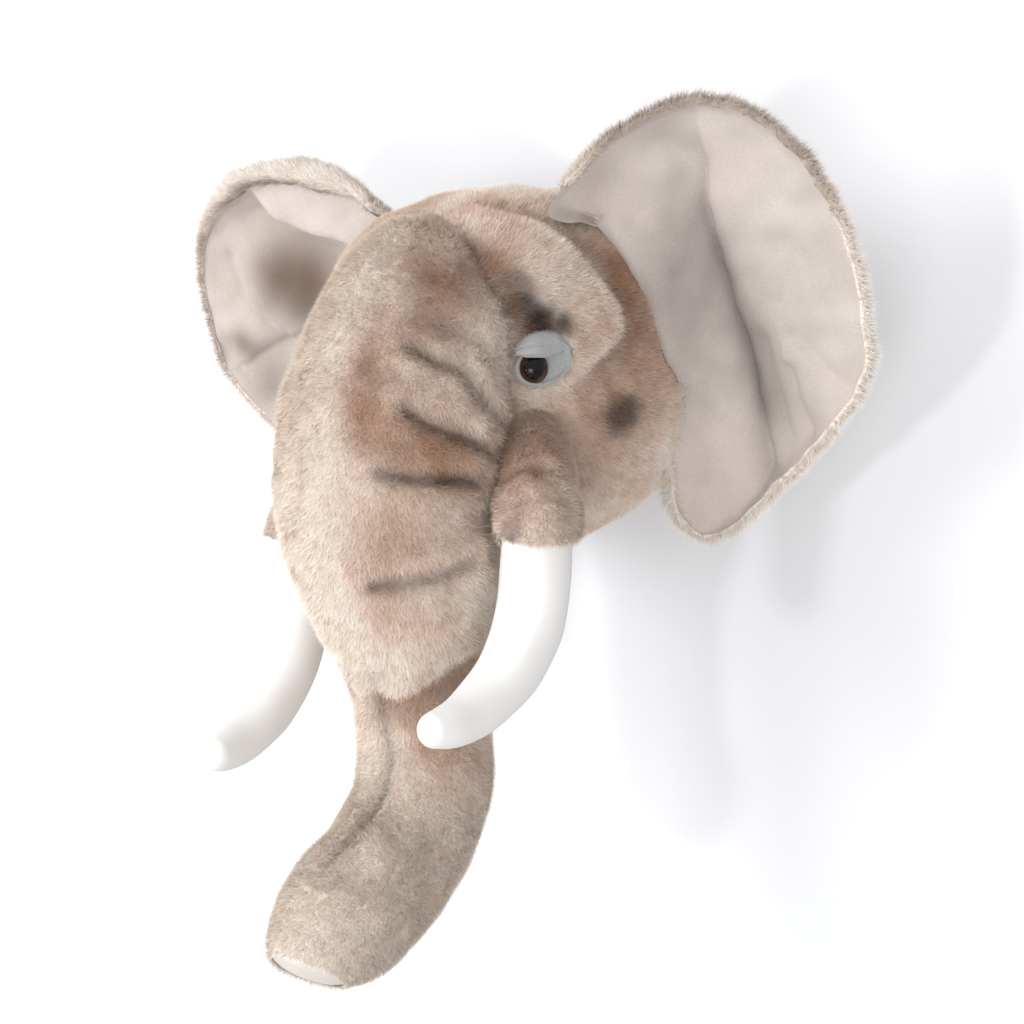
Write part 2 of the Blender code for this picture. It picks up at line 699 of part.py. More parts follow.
def smooth_line(points, count):
    """Points along a Catmull-Rom curve through a few points, evenly by chord length."""
    points = np.array(points)
    ends = np.vstack([2 * points[0] - points[1], points, 2 * points[-1] - points[-2]])
    share = np.linspace(0.0, 1.0, 20, endpoint=False)[:, None]
    runs = []
    for a, b, c, d in zip(ends, ends[1:], ends[2:], ends[3:]):
        cubic = (3 * (b - c) + d - a) * share ** 3 + (2 * a - 5 * b + 4 * c - d) * share ** 2
        runs.append(0.5 * (2 * b + (c - a) * share + cubic))
    line = np.vstack([*runs, points[-1:]])
    length = np.concatenate([[0.0], np.cumsum(np.linalg.norm(np.diff(line, axis=0), axis=1))])
    even = np.linspace(0.0, length[-1], count)
    return np.stack([np.interp(even, length, line[:, k]) for k in range(2)], axis=1)


def root_line(count, stand_off):
    """The head's own outline in the ear plane, stood off along its normal."""
    heights = np.linspace(EAR_ROOT_TOP, EAR_ROOT_BOTTOM, count)
    places = [ear_world(LEFT, 0.0, height) for height in heights]
    sides = np.array([head_point(-float(p[1]), float(p[2])).x for p in places])
    line = np.stack([sides, heights], axis=1)
    along = np.gradient(line, axis=0)
    outward = np.stack([-along[:, 1], along[:, 0]], axis=1)
    return line + stand_off * outward / np.linalg.norm(outward, axis=1)[:, None]


def ear_edge(side):
    """The ear's outline. The top of the right ear is rolled over, so less of its height shows."""
    edge = smooth_line(EAR_OUTLINE, EAR_ROWS)
    if side == RIGHT:
        above = np.maximum(edge[:, 1] - RIGHT_EAR_ROLL_LINE, 0.0)
        edge[:, 1] -= (1 - RIGHT_EAR_ROLL_SHARE) * above
    return edge


def ear_shares(root, edge):
    """How far out each column lies in each row: one column follows the left ear's fold."""
    line = np.array(EAR_FOLDS["left"])[::-1]
    middle = (root + edge) / 2
    wide = np.maximum(edge[:, 0] - root[:, 0], 2 * HEM_RADIUS)
    on_fold = (np.interp(middle[:, 1], line[:, 1], line[:, 0]) - root[:, 0]) / wide
    on_fold = np.clip(on_fold, 0.25, 0.65)
    inner = np.linspace(0.0, 1.0, EAR_FOLD_COLUMN + 1)
    outer = np.linspace(0.0, 1.0, EAR_COLUMNS - 1 - EAR_FOLD_COLUMN)[1:]
    shares = [on_fold * part for part in inner]
    shares += [on_fold + (EAR_OPEN_SHARE - on_fold) * part for part in outer]
    return np.array([*shares, np.ones(len(root))])


def ear_fold(side, flat):
    """How far the cloth is pressed back: most on the fold's line, and less by e over its reach."""
    line = np.array(EAR_FOLDS[SIDE_NAMES[side]])
    apart = np.full(flat.shape[:-1], np.inf)
    for start, end in zip(line, line[1:]):
        run = end - start
        along = np.clip((flat - start) @ run / (run @ run), 0.0, 1.0)
        away = flat - start - along[..., None] * run
        apart = np.minimum(apart, np.linalg.norm(away, axis=-1))
    return EAR_FOLD_DEPTH * np.exp(-apart / EAR_FOLD_REACH)


def ear_sheet(side, near, far, rim):
    """A closed sheet between two offsets of the folded ear surface.

    Columns run from the root line to the outline and rows from top to bottom. The rim is the share
    of the outermost column and of the end rows that the sheet leaves free; those stay flat.
    """
    root = root_line(EAR_ROWS, 2 * HEM_RADIUS + ROOT_CLEARANCE + 2 * GAP)
    edge = ear_edge(side)
    shares = ear_shares(root, edge)
    flat = root[None] * (1 - shares[..., None]) + edge[None] * shares[..., None]
    pressed = -ear_fold(side, flat)
    pressed[[0, -2, -1]] = 0.0
    pressed[:, [0, 1, -2, -1]] = 0.0
    flat[-1] += rim * (flat[-2] - flat[-1])
    flat[:, 0] += rim * (flat[:, 1] - flat[:, 0])
    flat[:, -1] += rim * (flat[:, -2] - flat[:, -1])
    lower = ear_world(side, flat[..., 0], flat[..., 1], pressed + near)
    upper = ear_world(side, flat[..., 0], flat[..., 1], pressed + far)
    return [np.vstack([below, above[::-1]]) for below, above in zip(lower, upper)]


BACK_NEAR = -(PLUSH + EAR_WADDING / 2 + GAP)
BACK_FAR = -(EAR_WADDING / 2 + GAP)
LINING_NEAR = EAR_WADDING / 2 + GAP
LINING_FAR = EAR_WADDING / 2 + GAP + EAR_LINING
for side in (LEFT, RIGHT):
    name = SIDE_NAMES[side]
    hem_line = root_line(EAR_ROWS, HEM_RADIUS + ROOT_CLEARANCE)
    hem_points = ear_world(side, hem_line[:, 0], hem_line[:, 1])
    hem_heading = np.gradient(hem_points, axis=0)
    hem_rings = [ring_about(p, d / np.linalg.norm(d), HEM_RADIUS, HEM_SIDES)
                 for p, d in zip(hem_points, hem_heading)]
    hem = loft("ear_hem_" + name, hem_rings, FUR)
    back = loft("ear_back_" + name, ear_sheet(side, BACK_NEAR, BACK_FAR, 0.0), FUR, True)
    wadding_rings = ear_sheet(side, -EAR_WADDING / 2, EAR_WADDING / 2, EAR_RIM)
    wadding = loft("ear_wadding_" + name, wadding_rings, FILLING, True)
    lining_rings = ear_sheet(side, LINING_NEAR, LINING_FAR, EAR_RIM)
    lining = loft("ear_lining_" + name, lining_rings, SUEDE, True)
    pivot("ear_pivot_" + name, tuple(hem_points[EAR_ROWS // 2]), [hem, back, wadding, lining])
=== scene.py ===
import bmesh
import bpy
import numpy as np
from mathutils import Matrix


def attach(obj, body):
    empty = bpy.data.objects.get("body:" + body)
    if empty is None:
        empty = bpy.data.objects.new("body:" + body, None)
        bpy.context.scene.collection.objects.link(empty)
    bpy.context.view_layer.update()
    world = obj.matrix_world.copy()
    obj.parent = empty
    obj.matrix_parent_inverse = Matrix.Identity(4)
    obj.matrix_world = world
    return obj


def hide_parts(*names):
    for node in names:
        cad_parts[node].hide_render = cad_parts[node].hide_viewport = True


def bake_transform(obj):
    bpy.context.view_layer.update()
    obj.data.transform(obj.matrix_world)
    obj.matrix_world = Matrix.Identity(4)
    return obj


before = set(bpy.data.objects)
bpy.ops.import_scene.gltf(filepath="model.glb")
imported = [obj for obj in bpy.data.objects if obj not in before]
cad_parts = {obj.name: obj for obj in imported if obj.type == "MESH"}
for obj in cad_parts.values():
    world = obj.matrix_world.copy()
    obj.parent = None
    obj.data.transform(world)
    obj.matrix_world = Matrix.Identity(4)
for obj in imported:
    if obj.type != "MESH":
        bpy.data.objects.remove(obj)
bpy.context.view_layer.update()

bpy.context.scene.view_settings.view_transform = "Standard"


# Back board, hanger and nails: an oval of fibreboard closes the neck, and a sawtooth hanger of zinc plated
# steel is held on it by two nails. They keep the meshes of the CAD and take their finish here.

def linear(hex_colour):
    """An sRGB hex colour as linear red, green, blue and alpha: each channel by the sRGB curve."""
    coded = np.array([int(hex_colour[i:i + 2], 16) / 255 for i in (1, 3, 5)])
    plain = np.where(coded > 0.04045, ((coded + 0.055) / 1.055) ** 2.4, coded / 12.92)
    return (*(float(channel) for channel in plain), 1.0)


def feed(tree, node, inputs):
    """Sets each named input of a node to a value, or links it where the value is a socket."""
    for name, value in inputs.items():
        if isinstance(value, bpy.types.NodeSocket):
            tree.links.new(value, node.inputs[name])
        else:
            node.inputs[name].default_value = value


def add(tree, kind, inputs, **settings):
    """Adds a node of one kind with its settings, and feeds its inputs."""
    node = tree.nodes.new(kind)
    for name, value in settings.items():
        setattr(node, name, value)
    feed(tree, node, inputs)
    return node


def new_material(name):
    """A material with its node tree and the surface shader that every finish here is built on."""
    made = bpy.data.materials.new(name)
    made.use_nodes = True
    return made, made.node_tree, made.node_tree.nodes["Principled BSDF"]


MILLIMETRE = 0.001
FIBRE_FLECK = 1.5 * MILLIMETRE
fibreboard, tree, shader = new_material("fibreboard")
# Pressed wood fibre: matt, tan, with fine darker flecks.
place = add(tree, "ShaderNodeTexCoord", {})
fleck = add(tree, "ShaderNodeTexNoise",
            {"Vector": place.outputs["Object"], "Scale": 1 / FIBRE_FLECK, "Detail": 6.0})
tan = add(tree, "ShaderNodeValToRGB", {"Fac": fleck.outputs["Fac"]})
tan.color_ramp.elements[0].color = linear("#7d6a52")
tan.color_ramp.elements[1].color = linear("#b79c7b")
feed(tree, shader, {"Base Color": tan.outputs["Color"], "Roughness": 0.85})

BRUSH_WIDTH = 0.6 * MILLIMETRE
zinc, tree, shader = new_material("zinc_plated_steel")
# Stamped strip, dull plated: a metal with slightly uneven gloss.
place = add(tree, "ShaderNodeTexCoord", {})
uneven = add(tree, "ShaderNodeTexNoise",
             {"Vector": place.outputs["Object"], "Scale": 1 / BRUSH_WIDTH, "Detail": 4.0})
gloss = add(tree, "ShaderNodeMapRange",
            {"Value": uneven.outputs["Fac"], "To Min": 0.28, "To Max": 0.46})
feed(tree, shader, {"Base Color": linear("#c6c7ca"), "Metallic": 1.0, "Roughness": gloss.outputs["Result"]})

for node_name, finish in (("back_board", fibreboard), ("sawtooth_hanger", zinc),
                          ("hanger_nail_left", zinc), ("hanger_nail_right", zinc)):
    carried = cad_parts[node_name]
    carried.data.materials.clear()
    carried.data.materials.append(finish)


# Back felt: an oval of pressed brown felt glued over the board, 3 mm thick, with a window cut in it where
# the hanger shows. A ring of cells between the window's edge and the oval, given its thickness at the end.

MERGE_DISTANCE = 0.01 * MILLIMETRE


def mesh_piece(name, points, corners, spread, colours):
    """A new piece from points, faces by their corners' numbers, and each corner's place on the map.

    All faces have as many corners as the array of corners is wide. Colours go into the attribute colour_and_painted_shade.
    """
    mesh = bpy.data.meshes.new(name)
    mesh.vertices.add(len(points))
    mesh.vertices.foreach_set("co", points.astype(np.float32).ravel())
    mesh.loops.add(corners.size)
    mesh.loops.foreach_set("vertex_index", corners.astype(np.int32).ravel())
    mesh.polygons.add(len(corners))
    mesh.polygons.foreach_set("loop_start", np.arange(0, corners.size, corners.shape[1], dtype=np.int32))
    mesh.update(calc_edges=True)
    mesh.uv_layers.new(name="OFBake").uv.foreach_set("vector", spread.astype(np.float32).ravel())
    if colours is not None:
        opaque = np.concatenate([colours, np.ones((len(points), 1))], -1)
        attribute = mesh.color_attributes.new("colour_and_painted_shade", "FLOAT_COLOR", "POINT")
        attribute.data.foreach_set("color", opaque.astype(np.float32).ravel())
    made = bpy.data.objects.new(name, mesh)
    bpy.context.scene.collection.objects.link(made)
    return made


def skin(name, points, colours=None):
    """A mesh over a grid of points, rows by columns: each cell is one quad that faces along columns x rows.

    The map runs over rows and columns, and points that fall together, as on the closing column or at a
    pole, are merged.
    """
    rows, columns = points.shape[:2]
    row, column = np.mgrid[:rows - 1, :columns - 1].reshape(2, -1, 1)
    corner_row, corner_column = row + [0, 0, 1, 1], column + [0, 1, 1, 0]
    made = mesh_piece(name, points.reshape(-1, 3), corner_row * columns + corner_column,
                      np.stack([corner_column / (columns - 1), corner_row / (rows - 1)], -1),
                      None if colours is None else colours.reshape(-1, 3))
    work = bmesh.new()
    work.from_mesh(made.data)
    bmesh.ops.remove_doubles(work, verts=work.verts, dist=MERGE_DISTANCE)
    work.to_mesh(made.data)
    work.free()
    made.data.shade_smooth()
    return made


def superellipse(turn, half_width, half_height, power):
    """An oval with flattened sides: |x/a|^p + |z/b|^p = 1, read at an angle."""
    across, up = np.cos(turn), np.sin(turn)
    return (half_width * np.sign(across) * np.abs(across) ** (2 / power),
            half_height * np.sign(up) * np.abs(up) ** (2 / power))


FELT_HALF_WIDTH, FELT_HALF_HEIGHT, FELT_THICKNESS = 0.0735, 0.0755, 0.0028
WINDOW_HALF_WIDTH, WINDOW_HALF_HEIGHT, WINDOW_LEVEL = 0.0270, 0.0085, 0.0440
OFF_THE_WALL = 0.0002
WINDOW_POWER, OVAL_POWER = 8.0, 2.3
FELT_RINGS, FELT_COLUMNS = 30, 145
FELT_TUFT = 0.9 * MILLIMETRE

turn = np.linspace(0, 2 * np.pi, FELT_COLUMNS)
window_x, window_z = superellipse(turn, WINDOW_HALF_WIDTH, WINDOW_HALF_HEIGHT, WINDOW_POWER)
oval_x, oval_z = superellipse(turn, FELT_HALF_WIDTH, FELT_HALF_HEIGHT, OVAL_POWER)
share = np.linspace(0, 1, FELT_RINGS)[:, None]
felt_points = np.stack([window_x + share * (oval_x - window_x),
                        np.full((FELT_RINGS, FELT_COLUMNS), -OFF_THE_WALL),
                        WINDOW_LEVEL + window_z + share * (oval_z - window_z - WINDOW_LEVEL)], -1)
back_felt = skin("back_felt_cover", felt_points)
wall_of_felt = back_felt.modifiers.new("thickness", "SOLIDIFY")
wall_of_felt.thickness = FELT_THICKNESS
wall_of_felt.offset = -1.0


def napped_cloth(name, nap, uneven, dark, light, relief, finish):
    """Cloth with a nap: flecks of one size, lighter and darker, that also stand up a little.

    Uneven holds the flecks' detail and roughness, relief their strength and height, finish the shader's values.
    """
    made, tree, shader = new_material(name)
    place = add(tree, "ShaderNodeTexCoord", {})
    flecks = add(tree, "ShaderNodeTexNoise", {"Vector": place.outputs["Object"], "Scale": 1 / nap,
                                              "Detail": uneven[0], "Roughness": uneven[1]})
    tone = add(tree, "ShaderNodeValToRGB", {"Fac": flecks.outputs["Fac"]})
    tone.color_ramp.elements[0].color = linear(dark)
    tone.color_ramp.elements[1].color = linear(light)
    raised = add(tree, "ShaderNodeBump",
                 {"Height": flecks.outputs["Fac"], "Strength": relief[0], "Distance": relief[1]})
    feed(tree, shader, {"Base Color": tone.outputs["Color"], "Normal": raised.outputs["Normal"], **finish})
    return made


# Pressed fibres without a weave: matt, with matted tufts a little lighter and darker.
brown_felt = napped_cloth("brown_felt", FELT_TUFT, (5.0, 0.7), "#5c5149", "#8b7d72", (0.5, 0.4 * MILLIMETRE),
                          {"Roughness": 0.95, "Sheen Weight": 0.2})
back_felt.data.materials.append(brown_felt)
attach(back_felt, "head")
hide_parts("back_felt")


# Head: the neck, crown and both cheeks, cut from fawn plush, sewn into one bag and stuffed firmly with
# fibre. Each brow is an edge of the front panel that stands over the side panel, with the pile combed back.

def curve_through(points, count):
    """A smooth line through points: cubic pieces, with each point's slope taken from its neighbours."""
    points = np.array(points, float)
    steps = np.r_[0, np.cumsum(np.linalg.norm(np.diff(points, axis=0), axis=1))]
    slopes = np.gradient(points, steps, axis=0)
    at = np.linspace(0, steps[-1], count)
    piece = np.clip(np.searchsorted(steps, at, side="right") - 1, 0, len(steps) - 2)
    length = (steps[piece + 1] - steps[piece])[:, None]
    t = (at - steps[piece])[:, None] / length
    return ((1 + 2 * t) * (1 - t) ** 2 * points[piece] + t * (1 - t) ** 2 * length * slopes[piece]
            + t ** 2 * (3 - 2 * t) * points[piece + 1] + t ** 2 * (t - 1) * length * slopes[piece + 1])


def unit(vectors):
    """Vectors scaled to length one."""
    return vectors / np.linalg.norm(vectors, axis=-1, keepdims=True).clip(1e-9)


def facing(points, closed):
    """The outward direction at each point of a grid: the step along columns crossed with the step along rows."""
    across = np.gradient(points, axis=1)
    if closed:
        across[:, 0] = across[:, -1] = (points[:, 1] - points[:, -2]) / 2
    return unit(np.cross(across, np.gradient(points, axis=0)))


def smooth(value, low, high):
    """An even ramp from 0 at low to 1 at high, level at both ends: 3t^2 - 2t^3."""
    t = np.clip((value - low) / (high - low), 0, 1)
    return t * t * (3 - 2 * t)


def between(value, rise, fall):
    """A share that ramps up over one range and down again over another."""
    return smooth(value, *rise) * (1 - smooth(value, *fall))


def bell(value, middle, reach):
    """A bell about a middle: e to the power of minus the square of the distance over the reach."""
    return np.exp(-((value - middle) / reach) ** 2)


def from_least(least, share):
    """A share that runs from a least value up to 1, instead of from 0."""
    return least + (1 - least) * share


def ripple(points, size, seed):
    """Soft unevenness over space, about -1 to 1: ten plane waves of about one length, added up."""
    draw = np.random.default_rng(seed)
    waves = unit(draw.normal(size=(10, 3))) * 2 * np.pi / (size * draw.uniform(0.7, 1.5, (10, 1)))
    return np.sin(points @ waves.T + draw.uniform(0, 2 * np.pi, 10)).sum(-1) / np.sqrt(10)


def near_line(points, line):
    """Distance from each point to a line of straight pieces: the least over its pieces."""
    line = np.array(line, float)
    least = np.full(points.shape[:-1], np.inf)
    for start, end in zip(line[:-1], line[1:]):
        t = np.clip((points - start) @ (end - start) / ((end - start) @ (end - start)), 0, 1)
        least = np.minimum(least, np.linalg.norm(points - start - t[..., None] * (end - start), axis=-1))
    return least


CREAM, BROWN, GREY = (np.array(linear(c)[:3]) for c in ("#f9ece0", "#b58c70", "#332d2b"))
# A deeper brown for the sleeves' spray and the far crown's painted shade; browns of painted shade under the
# muzzle and in the seam.
DEEP_BROWN, MUZZLE_SHADE_TINT, SEAM_SHADE_TINT = (BROWN * shade for shade in (0.8, 0.75, 0.6))
# Brown patches sprayed on both sides: x, y, z, radius in metres, then strength.
BROWN_PATCHES = ((0.034, -0.248, 0.038, 0.015, 0.55), (0.021, -0.250, 0.047, 0.012, 0.35),
                 (0.042, -0.242, 0.026, 0.016, 0.45), (0.033, -0.262, 0.004, 0.020, 0.30),
                 (0.015, -0.279, -0.010, 0.013, 0.45), (0.017, -0.288, -0.028, 0.013, 0.45),
                 (0.019, -0.293, -0.045, 0.012, 0.38), (0.032, -0.282, -0.030, 0.018, 0.22),
                 (0.037, -0.282, -0.048, 0.018, 0.45), (0.052, -0.266, -0.053, 0.018, 0.50),
                 (0.055, -0.258, -0.063, 0.014, 0.25), (0.037, -0.283, -0.100, 0.026, 0.45),
                 (0.045, -0.214, 0.040, 0.014, 0.60), (0.012, -0.185, 0.070, 0.028, 0.45),
                 (0.048, -0.180, 0.060, 0.024, 0.35), (0.080, -0.150, 0.037, 0.024, 0.85),
                 (0.095, -0.140, -0.002, 0.034, 0.55), (0.085, -0.170, -0.040, 0.034, 0.48),
                 (0.075, -0.140, -0.080, 0.045, 0.15), (0.068, -0.220, -0.062, 0.020, 0.80),
                 (0.078, -0.238, -0.086, 0.018, 0.35), (0.030, -0.225, -0.205, 0.022, 0.50),
                 (0.022, -0.242, -0.190, 0.018, 0.30), (0.012, -0.262, -0.235, 0.016, 0.30),
                 (0.022, -0.268, -0.142, 0.028, 0.28))
# Grey sprayed spots: x, y, z, radius, strength.
GREY_SPOTS = ((0.066, -0.204, 0.009, 0.0125, 1.0), (0.075, -0.194, 0.009, 0.0065, 0.9),
              (0.060, -0.208, 0.018, 0.0105, 0.90), (0.056, -0.208, 0.028, 0.0085, 0.6),
              (0.0910, -0.1510, -0.037, 0.0100, 0.80), (0.0870, -0.1590, -0.037, 0.0100, 0.80),
              (0.0892, -0.1550, -0.037, 0.0122, 0.80), (0.080, -0.251, -0.094, 0.0060, 0.5))
# The face's pinched wrinkles, on the left side, each with its depth and the strength of its grey line.
WRINKLES = ((((0.036, -0.266, -0.003), (0.046, -0.260, -0.009), (0.054, -0.250, -0.014),
              (0.058, -0.244, -0.025), (0.061, -0.231, -0.038)), 0.0060, 0.95),
            (((0.040, -0.277, -0.033), (0.048, -0.270, -0.039), (0.055, -0.259, -0.044),
              (0.060, -0.239, -0.054)), 0.0060, 0.95),
            (((0.032, -0.288, -0.063), (0.047, -0.274, -0.066), (0.059, -0.244, -0.068)), 0.0045, 0.90),
            (((0.022, -0.283, -0.119), (0.032, -0.277, -0.118), (0.042, -0.269, -0.116),
              (0.048, -0.260, -0.114), (0.055, -0.245, -0.108)), 0.0040, 0.95))
WRINKLE_LINE_WIDTH = 0.0038
FAR_SIDE_BROWN, FAR_SIDE_WRINKLES = 0.25, 0.25
# Where the left side's full spraying sets in, by x.
LEFT_SETS_IN = (0.002, 0.018)
# Brown that shows everywhere, and how much of it gathers in clouds and in flecks: share, then size.
BROWN_EVERYWHERE, BROWN_CLOUDS, BROWN_FLECKS = 0.12, (0.09, 0.045), (0.07, 0.011)
SPOT_RAGGED, SPOT_RAG_SIZE = 0.12, 0.010


def folded(points):
    """Points with the right side laid over the left: x counts without its sign."""
    return np.concatenate([np.abs(points[..., :1]), points[..., 1:]], -1)


def tinted(colour, tint, share):
    """A colour moved towards a tint by a share of the way, point by point."""
    return colour + (tint - colour) * share[..., None]


def plush_colour(points):
    """The pile's colour by place: cream, mixed with brown in the patches and then with grey on the marks.

    Both sides are sprayed alike, so x counts without its sign, but the right side is sprayed lighter.
    """
    left_side = smooth(points[..., 0], *LEFT_SETS_IN)
    both = folded(points)
    brown_share = (BROWN_EVERYWHERE + BROWN_CLOUDS[0] * ripple(points, BROWN_CLOUDS[1], 11)
                   + BROWN_FLECKS[0] * ripple(points, BROWN_FLECKS[1], 12))
    for x, y, z, radius, strength in BROWN_PATCHES:
        apart = ((both - [x, y, z]) ** 2).sum(-1) / radius ** 2
        brown_share = brown_share + strength * np.exp(-apart)
    brown_share = brown_share * from_least(FAR_SIDE_BROWN, left_side)
    grey_share = np.zeros(points.shape[:-1])
    for x, y, z, radius, strength in GREY_SPOTS:
        ragged = radius * (1 + SPOT_RAGGED * ripple(points, SPOT_RAG_SIZE, 13))
        apart = ((both - [x, y, z]) ** 2).sum(-1) / ragged ** 2
        grey_share = np.maximum(grey_share, strength * np.exp(-apart ** 2))
    for line, depth, strength in WRINKLES:
        worn = strength * from_least(FAR_SIDE_WRINKLES, left_side)
        grey_share = np.maximum(grey_share, worn * bell(near_line(both, line), 0, WRINKLE_LINE_WIDTH))
    brown_share, grey_share = (np.clip(s, 0, 1)[..., None] for s in (brown_share, grey_share))
    return (CREAM * (1 - brown_share) + BROWN * brown_share) * (1 - grey_share) + GREY * grey_share


def scatter(points, per_area, seed):
    """Random places on a grid, even by area: a cell is drawn with a chance as its area, then a place in it."""
    draw = np.random.default_rng(seed)
    a, b, c, d = points[:-1, :-1], points[1:, :-1], points[:-1, 1:], points[1:, 1:]
    area = np.linalg.norm(np.cross(d - a, c - b), axis=-1) / 2
    cell = draw.choice(area.size, int(area.sum() * per_area), p=area.ravel() / area.sum())
    return cell // area.shape[1] + draw.random(len(cell)), cell % area.shape[1] + draw.random(len(cell))


def read(values, at):
    """Grid values at places between its points: the four corners of the cell, weighed by nearness."""
    row, column = (np.floor(k).astype(int) for k in at)
    down, over = (at[0] - row)[:, None], (at[1] - column)[:, None]
    return ((values[row, column] * (1 - over) + values[row, column + 1] * over) * (1 - down)
            + (values[row + 1, column] * (1 - over) + values[row + 1, column + 1] * over) * down)


STRANDS_A_PIECE = 190000
STRAND_WIDTH = 0.34 * MILLIMETRE
STRAND_ON_MAP = np.array([[0.1, 0.1], [0.9, 0.1], [0.5, 0.9]])
# Roots darker and tips paler: partly the pile's own tones, partly painted shade deep in the pile and painted
# light on the tips.
ROOT_TONE_AND_PAINTED_SHADE, TIP_TONE_AND_PAINTED_LIGHT, SHADE_SPREAD = 0.78, 1.17, 0.12
# How far strands waver, from tuft to tuft and from strand to strand: by how much, then over what size.
SWING_WIDE, SWING_CLOSE, SWING_SPREAD = (0.20, 0.014), (0.12, 0.0035), 0.55
LIFT_CLOSE, LIFT_SPREAD, LIFT_LEAST, LIFT_MOST = (0.04, 0.004), 0.10, 0.10, 0.9
SHORTEST, LONGEST = 0.65, 1.15
SPECK_CLOSE, SPECK_WIDE, SPECK_SPREAD, PALER_SHARE = (0.16, 0.0032), (0.10, 0.007), 0.12, 0.8
SPECK_TINT = np.array([0.98, 0.84, 0.74])
WALL_CLEARANCE = 0.0005


def pile(name, roots, out, comb, colour, length, seed, rise=0.46):
    """Pile as short tapered strands, one face each, leaning from the skin along the comb.

    A strand lies between out and comb, rise being its share of out. Its turn and rise waver softly from
    place to place, which makes tufts, and from strand to strand. So does its colour, towards brown or
    cream. Roots are darker and tips paler, partly the pile's own tones and partly painted shade deep in the
    pile with painted light on the tips, and no tip passes through the wall.
    """
    draw = np.random.default_rng(seed)
    count = len(roots)
    comb = unit(comb - out * (comb * out).sum(-1, keepdims=True))
    side = np.cross(comb, out)
    swing = (SWING_WIDE[0] * ripple(roots, SWING_WIDE[1], seed)
             + SWING_CLOSE[0] * ripple(roots, SWING_CLOSE[1], seed + 1) + draw.normal(0, SWING_SPREAD, count))
    comb = comb * np.cos(swing)[:, None] + side * np.sin(swing)[:, None]
    lift = rise + LIFT_CLOSE[0] * ripple(roots, LIFT_CLOSE[1], seed + 2) + draw.normal(0, LIFT_SPREAD, count)
    lift = np.clip(lift, LIFT_LEAST, LIFT_MOST)[:, None]
    lean = unit(out * lift + comb * (1 - lift))
    tip = roots + lean * (length * draw.uniform(SHORTEST, LONGEST, count))[:, None]
    tip[:, 1] = np.minimum(tip[:, 1], -WALL_CLEARANCE)
    broad = unit(np.cross(lean, out)) * STRAND_WIDTH / 2
    points = np.stack([roots - broad, roots + broad, tip], 1)
    root_to_tip = np.array([ROOT_TONE_AND_PAINTED_SHADE, ROOT_TONE_AND_PAINTED_SHADE, TIP_TONE_AND_PAINTED_LIGHT])[:, None]
    shade = draw.normal(1.0, SHADE_SPREAD, (count, 1, 1)) * root_to_tip
    speck = (SPECK_CLOSE[0] * ripple(roots, SPECK_CLOSE[1], seed + 3)
             + SPECK_WIDE[0] * ripple(roots, SPECK_WIDE[1], seed + 4))
    speck = (speck + draw.normal(0, SPECK_SPREAD, count))[:, None]
    paler = np.clip(-speck, 0, 1) * PALER_SHARE * colour.mean(-1, keepdims=True) / CREAM.mean()
    colour = colour + (BROWN * SPECK_TINT - colour) * np.clip(speck, 0, 1) + (CREAM - colour) * paler
    tints = np.clip(colour[:, None, :] * shade, 0, 1)
    made = []
    for part, chosen in enumerate(np.array_split(np.arange(count), -(-count // STRANDS_A_PIECE)), 1):
        number = len(chosen)
        wide = int(np.ceil(np.sqrt(number)))
        cells = np.stack([np.arange(number) % wide, np.arange(number) // wide], -1)[:, None, :]
        strands = mesh_piece(f"{name}_{part}", points[chosen].reshape(-1, 3),
                             np.arange(number * 3).reshape(-1, 3), (cells + STRAND_ON_MAP) / wide,
                             tints[chosen].reshape(-1, 3))
        strands.data.materials.append(fawn_plush)
        made.append(strands)
    return made


fawn_plush, tree, shader = new_material("fawn_plush")
# Short knitted polyester pile: matt, with a soft sheen where the tips catch the light. Its sprayed colour,
# with painted shade and painted light mixed in, comes from the attribute that each strand and the cloth under it
# carry.
colour_and_shade = add(tree, "ShaderNodeAttribute", {}, attribute_name="colour_and_painted_shade")
feed(tree, shader, {"Base Color": colour_and_shade.outputs["Color"], "Roughness": 0.75, "Sheen Weight": 0.12,
                    "Sheen Roughness": 0.5, "Specular IOR Level": 0.2})

PILE_HEIGHT = 0.0024
PILE_LENGTH = 0.0044
PILE_PER_AREA = 3.4e6
# The cloth under the pile is the pile's colour darkened by this factor, as painted shade among the strands'
# roots.
CLOTH_PAINTED_SHADE = 0.85
HEAD_POWER = 2.3
# Depth from the wall, half width, half height and middle height of the stuffed bag, pile and all.
HEAD_STATIONS = ((0.004, 0.0745, 0.0765, 0.000), (0.016, 0.0765, 0.0785, 0.000),
                 (0.036, 0.0860, 0.0860, -0.002), (0.066, 0.0935, 0.0930, -0.007),
                 (0.105, 0.0975, 0.0980, -0.013), (0.140, 0.0955, 0.0970, -0.013),
                 (0.170, 0.0870, 0.0900, -0.012), (0.195, 0.0745, 0.0790, -0.011),
                 (0.213, 0.0590, 0.0640, -0.010), (0.227, 0.0400, 0.0450, -0.009),
                 (0.236, 0.0190, 0.0220, -0.009))
HEAD_ROWS, HEAD_COLUMNS = 170, 301
HEAD_LUMP, HEAD_LUMP_SIZE = 0.0007, 0.030
# Height and depth of the brow panel's free edge, from under the eye's corner up to the crown.
BROW_EDGE = ((-0.034, 0.204), (-0.022, 0.189), (-0.010, 0.175), (0.000, 0.163), (0.005, 0.158),
             (0.011, 0.157), (0.024, 0.162), (0.039, 0.169), (0.055, 0.177), (0.072, 0.190))
BROW_STEP, BROW_FALL, BROW_EDGE_STEPS = 0.0032, 0.35, 80
# Heights over which the brow sets in and ends, and the ranges ahead of its edge over which it rises and falls.
BROW_BOTTOM, BROW_TOP = (-0.030, -0.010), (0.058, 0.072)
BROW_RISES, BROW_FALLS = (-0.0015, 0.0035), (0.004, 0.030)
